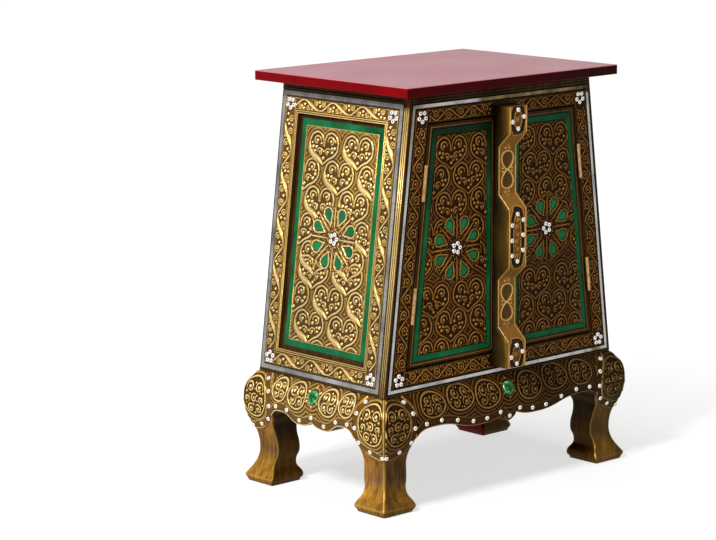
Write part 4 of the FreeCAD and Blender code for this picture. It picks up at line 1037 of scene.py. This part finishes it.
def frame_loop(left, right, low, high):
    return [(left(low), low), (right(low), low), (right(high), high), (left(high), high)]


def rect(half, low, high):
    return frame_loop(upright(-half), upright(half), low, high)


def door_border(grow):
    """Outline of a left door's glass border, grown outward."""
    return frame_loop(lambda v: -(door_half(v) - (DOOR_GLASS_HINGE - grow)), upright(DOOR_GLASS_BAR + grow),
                      DOOR_GLASS_LOW - grow, DOOR_GLASS_HIGH + grow)


SIDE_RIMS = [rect(SIDE_OPEN_HALF + g, SIDE_OPEN_LOW - g, SIDE_OPEN_HIGH + g) for g in (1.2, 3.9)]
SIDE_FILLET = [rect(75.4, 52.9, 362.3)]
EDGE_REEDS = [[(u, 1), (u, 422)] for u in (128.9, 132.5, 136.1)]
SIDE_STRIPS = [rect(half, up_side(169.5) + inset, up_side(572.5) - inset)
               for half, inset in ((125.2, 0.5), (118.4, 7.4))]
SIDE_LINES = [[(-127, v), (127, v)] for v in [up_side(z) for z in TOP_LINES_Z] + [1.6]]

for flip, side in ((False, "left"), (True, "right")):
    door = side + "_door"
    moulding(door + "_lines", door, [door_border(2.6)], on_front, shaded_front_gold, flip)
    # Painted shade in the grooves along the door's glass border
    moulding(door + "_grooves", door, [door_border(g) for g in (-0.7, -9.4)], on_front, shade_in_grooves, flip, 0.7, 0.7,
             base=0.3)
    moulding(side + "_side_lines", "cabinet", SIDE_RIMS, on_left, lit_side_gold, flip)
    moulding(side + "_side_fillet", "cabinet", SIDE_FILLET, on_left_panel, lit_side_gold, flip, 0.8, 1.6,
             base=0.3)
    moulding(side + "_edge_reeds", "cabinet", EDGE_REEDS, on_left, lit_side_gold, flip, 1.5, 1.5, 0.2, 1.0)
    # Painted shade along the edges of the side mirror strips
    moulding(side + "_side_strip_edges", "cabinet", SIDE_STRIPS, on_left, shade_in_grooves, flip, 0.75, 0.6, base=0.3)
    # Dark lines under the top, as its painted shadow, and one at the bottom of the side
    moulding(side + "_side_top_lines", "cabinet", SIDE_LINES, on_left, rim_gold_in_shade, flip, 1.6, 1.4)

front_strips = [frame_loop(lambda v: inset - half_width(v), lambda v: half_width(v) - inset,
                           166 + inset, 576 - inset) for inset in (4.3, 10.7)]
front_lines = [[(-half_width(z) + 2, z), (half_width(z) - 2, z)] for z in (167.7, *TOP_LINES_Z)]
# Painted shade along the edges of the front mirror strips
moulding("front_strip_edges", "cabinet", front_strips, on_front, shade_in_grooves, False, 1.1, 0.9, base=0.3)
# Dark lines under the top, as its painted shadow, and one low on the front
moulding("front_top_lines", "cabinet", front_lines, on_front, rim_gold_in_shade, False, 1.4, 1.3)


# Centre bar
def long_oval(middle, rx, rz):
    a = np.linspace(0, 2 * math.pi, 61)
    c, s = np.cos(a), np.sin(a)
    return np.stack([rx * np.sign(c) * np.abs(c) ** 0.6, middle + rz * np.sign(s) * np.abs(s) ** 0.8], -1)


def bar_oval(f, low, high):
    """Two ovals, one in the other, with a row of curls, on a high part of the bar."""
    middle, reach = (low + high) / 2, (high - low) / 2
    ovals = [long_oval(middle, 15.2, reach + 4), long_oval(middle, 7.4, reach - 7.4)]
    for outline, h in zip(ovals, (0.0, 0.33)):
        f.level(outline, h)
    for outline, h in zip(ovals, (1.5, 1.3)):
        f.stroke(outline, 0.8, h)
    pitch = 10.5
    n = max(1, int((2 * reach - 18) / pitch))
    for i in range(n):
        way = 1 if i % 2 else -1
        y = middle + (i - (n - 1) / 2) * pitch
        curl(f, way * 0.8, y, 3.8, 90 * way, 330 * way, 0.9, 1.2)
        f.ball(-way * 4.2, y + 4, 1.2, 1.2)


def bar_eight(f, middle):
    """A figure of eight with curls and berries, on a low part of the bar."""
    t = np.linspace(0, 2 * math.pi, 49)
    up = np.sign(np.sin(t)) * np.abs(np.sin(t)) ** 1.4
    eight = np.stack([11.8 * np.sin(2 * t), middle + 27 * up], -1)
    f.level(eight[24:], 0.3)
    f.level(eight[:25], 0.3)
    f.stroke(eight, 1.35, 1.9)
    for way in (-1, 1):
        for side in (-1, 1):
            curl(f, side * 4.2, middle + way * 32, 3.0, 90 - side * 60, side * 300, 0.9, 1.6)
            f.ball(side * 9.2, middle + way * 2.5, 1.9, 1.9)
        f.ball(0, middle + way * 36.5, 1.6, 1.7)


def bar_relief():
    bottom, top = BAR_PROFILE[0][0], BAR_PROFILE[-1][0]
    f = Relief(-18, 18, bottom, top, 0.55)
    ends = [z for z, out in BAR_PROFILE if out == BAR_HIGH]
    for low, high in zip(ends[::2], ends[1::2]):
        bar_oval(f, low, high)
    ends = [z for z, out in BAR_PROFILE if out == BAR_LOW]
    for low, high in zip(ends[::2], ends[1::2]):
        bar_eight(f, (low + high) / 2)
    for u in (-16.7, 16.7):
        f.straight((u, bottom), (u, top), 1.0, 1.75)
    place = on_curved(BAR_LINE, BODY_HALF_D, 0.4)
    relief_sheet("centre_bar_relief", "right_door", f, place, upright(-BAR_HALF), upright(BAR_HALF),
                 bottom + 0.4, top - 0.4, bar_gold, False, True, f.h / 1.9)


bar_relief()


# Aprons
def scroll(f, x, z, rx, rz, way):
    """A ring filled with four stout curls and berries."""
    f.level(oval(x, z, rx, rz), GROUND)
    f.stroke(oval(x, z, rx, rz), 1.8, 1.9)
    for i in range(4):
        t = math.radians(45 + 90 * i)
        cx, cz = x + 0.62 * (rx - 3) * math.cos(t), z + 0.62 * (rz - 3) * math.sin(t)
        curl(f, cx, cz, 0.4 * min(rx, rz), math.degrees(t) + 120 * way, 330 * way, 1.5, 1.85, 0.46)
    f.ball(x, z, 1.8, 1.9)
    f.fill(oval(x, z, rx - 3, rz - 3), 2.0, 1.7, 5.0)


def gem_seat(f):
    """A bare round with a ring and six claws, for the stone."""
    f.clear(0, GEM_Z, 13)
    f.stroke(oval(0, GEM_Z, 11.9, 11.9), 0.9, 1.5)
    for i in range(6):
        claw = turned(np.array([(11.0, 0), (13, 0), (15, 0)]), 30 + 60 * i) + (0, GEM_Z)
        f.stroke(claw, 1.7, 1.9, 0.6, 0.9)


def apron_relief(name, reach, half, edge, scrolls, turn, flip=False):
    """An apron with its bead band along the lower edge; the back one has no scrolls and is plain."""
    f = Relief(-half - 1, half + 1, 98, 168, GROUND if scrolls else 0.0)
    if scrolls:
        rings = [(way * x, z, rx, rz, way) for way in (-1, 1) for x, z, rx, rz in scrolls]
        f.reed([oval(*ring[:4]) for ring in rings] + [oval(0, GEM_Z, 13, 13)])
        for ring in rings:
            scroll(f, *ring)
        gem_seat(f)
    height = f.vs[:, None] - edge(f.us[None, :])
    f.h[height < BEAD_BAND_H] = 0.7
    for rise, r, h in ((1.4, 1.2, 1.7), (BEAD_BAND_H, 1.0, 1.5)):
        f.stroke([(u, edge(u) + rise) for u in np.linspace(-half, half, 60)], r, h)
    cols, rows = int(2 * half / GRID) + 2, int(APRON_H / GRID)
    u = np.repeat(np.linspace(-half + 0.2, half - 0.2, cols)[None, :], rows, 0)
    low = edge(u) + 0.3
    v = low + (APRON_TOP_Z - low) * np.linspace(0, 1, rows)[:, None]
    to_side = abs(turn) == 90
    gold = f.patina()
    gold[(height > 3.0) & (height < 11.6)] *= 0.85 if to_side else 1.15
    place = on_curved(OUTER, reach)
    front, back = (turned(place(u, v, w), turn) for w in (LIFT + DEPTH * f.at(u, v), SUNK + 0 * u))
    # The side aprons take the lit gold, and the front and back aprons the darker gold that is painted shade
    sheet(name, "cabinet", front, back, f.at(u, v, gold), lit_side_gold if to_side else shaded_apron_gold, flip, True)


FRONT_SCROLLS = [(43, 145, 24, 18.5), (97, 149, 25, 17), (152, 147, 23, 16.5)]
SIDE_SCROLLS = [(33.5, 145, 18.5, 18), (71, 147.5, 15, 15.5)]
apron_relief("front_apron_relief", BODY_HALF_D, LEG_X, FRONT_EDGE, FRONT_SCROLLS, 0)
apron_relief("left_apron_relief", BODY_HALF, LEG_Y, SIDE_EDGE, SIDE_SCROLLS, -90)
apron_relief("right_apron_relief", BODY_HALF, LEG_Y, SIDE_EDGE, SIDE_SCROLLS, -90, True)
apron_relief("back_apron_relief", BODY_HALF_D, LEG_X, FRONT_EDGE, [], 180)


# Legs
def knee_field():
    """Relief and gold of a knee over (distance in from the body's corner, height)."""
    f = Relief(*KNEE_FIELD, GROUND)
    egg = oval(8.5, 129.5, 24.5, 28.5)
    f.reed([egg])
    f.stroke(egg, 1.5, 1.75)
    for x, z, r, start, sweep in (
            (-1, 143, 7.8, 200, -330), (18, 143, 7.8, 340, 330), (8.5, 128, 6.4, 60, 330),
            (-6.5, 125.5, 5.0, 300, 300), (23.5, 125.5, 5.0, 240, -300), (1, 112.5, 6.6, 30, 330),
            (17, 112.5, 6.6, 150, -330)):
        curl(f, x, z, r, start, sweep, 1.6, 1.9, 0.44)
    f.fill(oval(8.5, 129, 21, 25), 2.1, 1.7, 5.0)
    outward = [(0.8, 0.6), (1, 0.25), (1, -0.15), (0.75, -0.65), (0.3, -0.95), (0.15, -1)]
    for off in (-5.6, 5.6):
        line = [(x + dx * off, z + dz * off) for (x, z), (dx, dz) in zip(KNEE_BEADS, outward)]
        f.stroke([(24 + off * 0.8, 167), *line, (-21, 80 - off)], 1.0, 1.6)
    bead_line = [(24, 167), *KNEE_BEADS, (-21, 80)]
    f.groove(bead_line, BEAD_GROOVE_R, 0.0)
    under_beads = Relief(*KNEE_FIELD)
    under_beads.stroke(bead_line, BEAD_GROOVE_R, 1.0)
    return f, np.where(under_beads.h > 0, 0.4, f.patina())


def leg_mesh():
    """A front left leg with rounded corners, carved on its two outer faces down to the skin's end."""
    knee, knee_gold = knee_field()
    skin_end = np.array(SKIN_END, float)
    shin, thigh = np.linspace(TOE_Z, SHIN_TOP_Z, 42), np.linspace(SHIN_TOP_Z, BODY_Z, 96)[1:]
    levels = np.concatenate([[0, 3, 6], shin, thigh])
    arc = np.linspace(0, math.pi / 2, 7)[1:-1]
    verts, tone = [], []
    for z in levels:
        out, slope = stands_out(OUTER, z)
        size = math.sqrt(1 + slope * slope)
        inner = np.interp(z, INNER[:, 1], INNER[:, 0])
        face = np.linspace(inner, -out + LEG_EDGE_R, LEG_FACE_POINTS)
        corner = LEG_EDGE_R - out
        points = [(p, -out, 0.0, -1.0, p) for p in face]
        points += [(corner - LEG_EDGE_R * s, corner - LEG_EDGE_R * c, -s, -c, -out)
                   for s, c in zip(np.sin(arc), np.cos(arc))]
        points += [(-out, p, -1.0, 0.0, p) for p in face[::-1]]
        x, y, nx, ny, inward = np.array(points).T
        near = np.minimum(1.0, (inward + out) / 3.0)
        end = np.interp(inward, skin_end[:, 0], skin_end[:, 1])
        carved = (z > end) & (z < CARVED_TOP_Z)
        height = z + 0 * inward
        h = knee.at(inward, height) * near + (LIFT + 0.35 * np.minimum(1.0, (z - end) / 1.5))
        h = np.where(carved, h, 0.0)
        # Tone of the plain shin: painted highlight along the rounded outer corner, the inner edge and the
        # toe's edge, and darker below the toe; on the knee, a painted highlight at the corner
        lit = np.maximum(1 - (inward + out) / 4.0, 1 - (inner - inward) / 2.5)
        plain = -0.9 + 0.5 * np.maximum(lit, max(0.0, 1 - abs(z - TOE_Z) / 3)) if z >= TOE_Z else -1.15
        gold = np.maximum(knee.at(inward, height, knee_gold), np.maximum(0.0, 0.8 - 0.8 * near))
        tone += np.where(carved, gold, plain).tolist()
        lifted = np.maximum(0.0, z - slope * h / size)
        verts += np.stack([x + nx * h / size, y + ny * h / size, lifted], -1).tolist()
        hidden = [(p, inner, z) for p in np.linspace(-out, inner, LEG_BACK_POINTS)[1:]]
        hidden += [(inner, p, z) for p in np.linspace(inner, -out, LEG_BACK_POINTS)[1:-1]]
        verts += hidden
        # The inner faces take the lowest tone, for their painted shade
        tone += [-1.4] * len(hidden)
    *sides, bottom, top = loft(len(levels), len(verts) // len(levels))
    faces = [[f[0], *f[:0:-1]] for f in sides] + [bottom[::-1], top[::-1]]
    return (np.array(verts) + (-BODY_HALF, -BODY_HALF_D, 0)) * MM, faces, tone


def legs():
    verts, faces, tone = leg_mesh()
    for end, sy in (("front", 1), ("back", -1)):
        paint = leg_gold("leg_gold", False) if end == "front" else leg_gold("back_leg_gold", True)
        for side, sx in (("left", 1), ("right", -1)):
            name = "%s_%s_leg" % (end, side)
            shown = [f[::-1] for f in faces] if sx * sy < 0 else faces
            build(name + "_carved", "cabinet", verts * (sx, sy, 1), shown, paint, tone,
                  len(faces) - 2, stands_for=(name,))


legs()


# Beads, gems and petals
def seats(node):
    """Middle and outward direction of each bead of a CAD node, from the flat underside of its dome."""
    mesh = nodes[node].data
    co = np.empty(len(mesh.vertices) * 3)
    mesh.vertices.foreach_get("co", co)
    co = co.reshape(-1, 3)
    same = np.unique(np.round(co * 1e6).astype(np.int64), axis=0, return_inverse=True)[1].ravel()
    parent = list(range(same.max() + 1))

    def root(i):
        while parent[i] != i:
            parent[i] = parent[parent[i]]
            i = parent[i]
        return i

    for poly in mesh.polygons:
        first, *others = [root(same[v]) for v in poly.vertices]
        for i in others:
            parent[root(i)] = first
    found = {}
    for poly in mesh.polygons:
        direction = tuple(round(c, 2) for c in poly.normal)
        found.setdefault(root(same[poly.vertices[0]]), {}).setdefault(direction, []).append(poly)
    result = []
    for groups in found.values():
        base = max(groups.values(), key=lambda polys: sum(p.area for p in polys))
        points = co[sorted({v for p in base for v in p.vertices})]
        result.append(((points.min(0) + points.max(0)) / 2, -np.array(base[0].normal)))
    return result


def ring(middle, out, r, h, sides, turn=0.0):
    """Points round a seat, at a radius and a height in mm."""
    across = np.cross(out, (0, 0, 1) if abs(out[2]) < 0.9 else (1, 0, 0))
    across /= np.linalg.norm(across)
    t = 2 * math.pi * (np.arange(sides) + turn) / sides
    flat = np.outer(np.cos(t), across) * r + np.outer(np.sin(t), np.cross(out, across)) * r
    return middle + (flat + out * h) * MM


# Radius and height of a bead's outside, and then of its pinhole
BEAD_OUTSIDE = [(3.5, -0.2), (3.5, 1.1), (3.38, 1.65), (3.05, 2.1), (2.5, 2.38), (1.7, 2.5), (1.15, 2.4)]
BEAD_HOLE = [(0.9, 1.9), (0.8, 1.1), (0.3, 1.0)]


def bead_mesh(node, body, paint):
    sides = 20
    profile = BEAD_OUTSIDE + BEAD_HOLE
    verts, faces, tone = [], [], []
    for middle, out in seats(node):
        faces += loft(len(profile), sides, len(verts))
        for r, h in profile:
            verts += ring(middle, out, r, h, sides).tolist()
        # Tone 0 marks the pinhole, which the bead paint darkens as painted shade
        tone += [1.0] * len(BEAD_OUTSIDE) * sides + [0.0] * len(BEAD_HOLE) * sides
    build(node + "_pierced", body, verts, faces, paint, tone, stands_for=(node,))


for node, body, paint in (("base_beads", "cabinet", bead_cream), ("body_beads", "cabinet", bead_white),
                          ("left_door_beads", "left_door", bead_white),
                          ("right_door_beads", "right_door", bead_white),
                          ("centre_bar_beads", "right_door", bead_cream)):
    bead_mesh(node, body, paint)

# Rows of a gem: radius, height, share of a facet that it is turned by, and tone
GEM_ROWS = [(10.4, -0.2, 0, 1.0), (10.5, 0.7, 0, 0.9), (8.9, 2.1, 0.5, 0.6), (6.4, 3.2, 0, 0.3),
            (4.0, 3.5, 0.5, 0.1)]


def gem_mesh():
    """Brilliant-cut stones: a girdle, two rows of facets and a flat table."""
    sides = 10
    verts, faces, tone = [], [], []

    def facet(level, *points):
        faces.append(list(range(len(verts), len(verts) + len(points))))
        verts.extend(points)
        tone.extend([level] * len(points))

    for middle, out in seats("apron_gems"):
        loops = [ring(middle, out, r, h, sides, turn) for r, h, turn, _ in GEM_ROWS]
        for a, b, (_, _, turn, level), after in zip(loops, loops[1:], GEM_ROWS, GEM_ROWS[1:]):
            for i in range(sides):
                j = (i + 1) % sides
                # Each facet's tone is raised or lowered at random, for painted glints
                first, second = level + rng.uniform(-0.5, 0.5, 2)
                if turn == after[2]:
                    facet(first, a[i], a[j], b[j], b[i])
                elif turn == 0:
                    facet(first, a[i], a[j], b[i])
                    facet(second, a[j], b[j], b[i])
                else:
                    facet(first, a[i], b[j], b[i])
                    facet(second, a[i], a[j], b[j])
        facet(0.5, *loops[0][::-1])
        facet(0.15, *loops[-1])
    build("apron_gems_cut", "cabinet", verts, faces, gem_glass, tone, 0,
          stands_for=("apron_gems",))


gem_mesh()

# How far each row of a petal's dome is grown from its outline, and its height
PETAL_ROWS = [(0.0, -0.3), (0.0, 0.7), (-0.5, 1.15), (-1.5, 1.5), (-3.0, 1.75), (-4.6, 1.85)]


def petal_mesh(node, body, middle, place, paint, flip=False):
    verts, faces = [], []
    for i in range(8):
        faces += loft(len(PETAL_ROWS), PETAL_POINTS, len(verts))
        for grow, w in PETAL_ROWS:
            u, v = petal(i, grow, middle).T
            verts += place(u, v, w + 0 * u).tolist()
    build(node + "_domed", body, verts, faces, paint, None, None, flip, (node,))


petal_mesh("left_door_glass_petals", "left_door", LEFT_FLOWER, on_front, door_petal_glass)
petal_mesh("right_door_glass_petals", "right_door", RIGHT_FLOWER, on_front, door_petal_glass)
petal_mesh("left_side_glass_petals", "cabinet", SIDE_FLOWER, on_left_panel, petal_glass)
petal_mesh("right_side_glass_petals", "cabinet", SIDE_FLOWER, on_left_panel, petal_glass, True)

# Floor, light and camera, in metres and degrees
WHITE = (1, 1, 1)
FLOOR_HALF = 40.0
WORLD_LEVEL = 0.08
REFLECTED = 0.8
LIT_POINT = (0, 0, 0.35)
CAMERA_AT = (-2.7432, -2.8054, 1.0349)
CAMERA_ANGLES = (-42.659, 10.594, -0.257)
LENS_MM = 136.41
SENSOR_MM = 36
FAR_CLIP = 100


def stage_floor():
    """A pale floor that shades off to white with distance and keeps the object's shadow."""
    mesh = bpy.data.meshes.new("floor")
    s = FLOOR_HALF
    mesh.from_pydata([(-s, -s, 0), (s, -s, 0), (s, s, 0), (-s, s, 0)], [], [[0, 1, 2, 3]])
    p = Paint("floor_paint")
    colour = p.ramp(p.noise(3, 3), (0.3, (0.46, 0.46, 0.455)), (0.7, (0.50, 0.50, 0.495)))
    far = p.add("VectorMath", "Value", {0: p.add("TexCoord", "Object")}, operation="LENGTH")
    glow = p.times(p.seen(), p.ramp(p.times(far, 0.5), (0.15, 0.66), (0.6, 0.95)))
    shining = {"Emission Color": WHITE, "Emission Strength": glow}
    mesh.materials.append(p.finish(colour, 0.8, 0.0, 0.1, None, shining))
    floor = bpy.data.objects.new("floor", mesh)
    bpy.context.scene.collection.objects.link(floor)


def aimed(name, data, right, back, at):
    """A lamp or camera at a place, with its right and the direction behind it."""
    up = np.cross(back, right)
    obj = bpy.data.objects.new(name, data)
    obj.matrix_world = Matrix([[right[k], up[k], back[k], at[k]] for k in range(3)] + [[0, 0, 0, 1]])
    bpy.context.scene.collection.objects.link(obj)
    return obj


def area_lamp(name, at, to, size, power):
    data = bpy.data.lights.new(name, "AREA")
    data.shape = "RECTANGLE"
    data.size, data.size_y = size
    data.energy = power
    back = np.subtract(at, to) / np.linalg.norm(np.subtract(at, to))
    right = np.cross((0, 0, 1), back)
    aimed(name, data, right / np.linalg.norm(right), back, at)


def world_light():
    """A dim white world on the object, and a bright one where it is seen or reflected."""
    world = bpy.data.worlds.new("studio")
    bpy.context.scene.world = world
    world.use_nodes = True
    world.node_tree.nodes.clear()
    n = Nodes(world.node_tree)
    shown = n.plus(n.times(n.add("LightPath", "Is Camera Ray"), 1 - REFLECTED), REFLECTED)
    levels = (WORLD_LEVEL, shown)
    low, high = (n.add("Background", 0, {"Color": WHITE, "Strength": level}) for level in levels)
    output = n.tree.nodes.new("ShaderNodeOutputWorld")
    n.put(output.inputs["Surface"], n.add("MixShader", 0, {0: n.seen(), 1: low, 2: high}))


def camera():
    """The camera that was fitted to the photograph."""
    azimuth, elevation, roll = (math.radians(d) for d in CAMERA_ANGLES)
    back = np.array([math.sin(azimuth) * math.cos(elevation), -math.cos(azimuth) * math.cos(elevation),
                     math.sin(elevation)])
    right = np.array([math.cos(azimuth), math.sin(azimuth), 0])
    right = math.cos(roll) * right + math.sin(roll) * np.cross(back, right)
    data = bpy.data.cameras.new("camera")
    data.sensor_width = SENSOR_MM
    data.lens = LENS_MM
    data.clip_end = FAR_CLIP
    bpy.context.scene.camera = aimed("camera", data, right, back, CAMERA_AT)


stage_floor()
area_lamp("key", at=(-2.25, -0.5, 2.1), to=LIT_POINT, size=(0.6, 0.6), power=80)
area_lamp("front_fill", at=(0.4, -2.9, 1.6), to=LIT_POINT, size=(1.6, 1.2), power=8)
area_lamp("top", at=(0.0, 0.5, 2.6), to=(0, 0, 0.5), size=(1.6, 1.6), power=18)
world_light()
camera()
bpy.context.scene.view_settings.view_transform = "Standard"
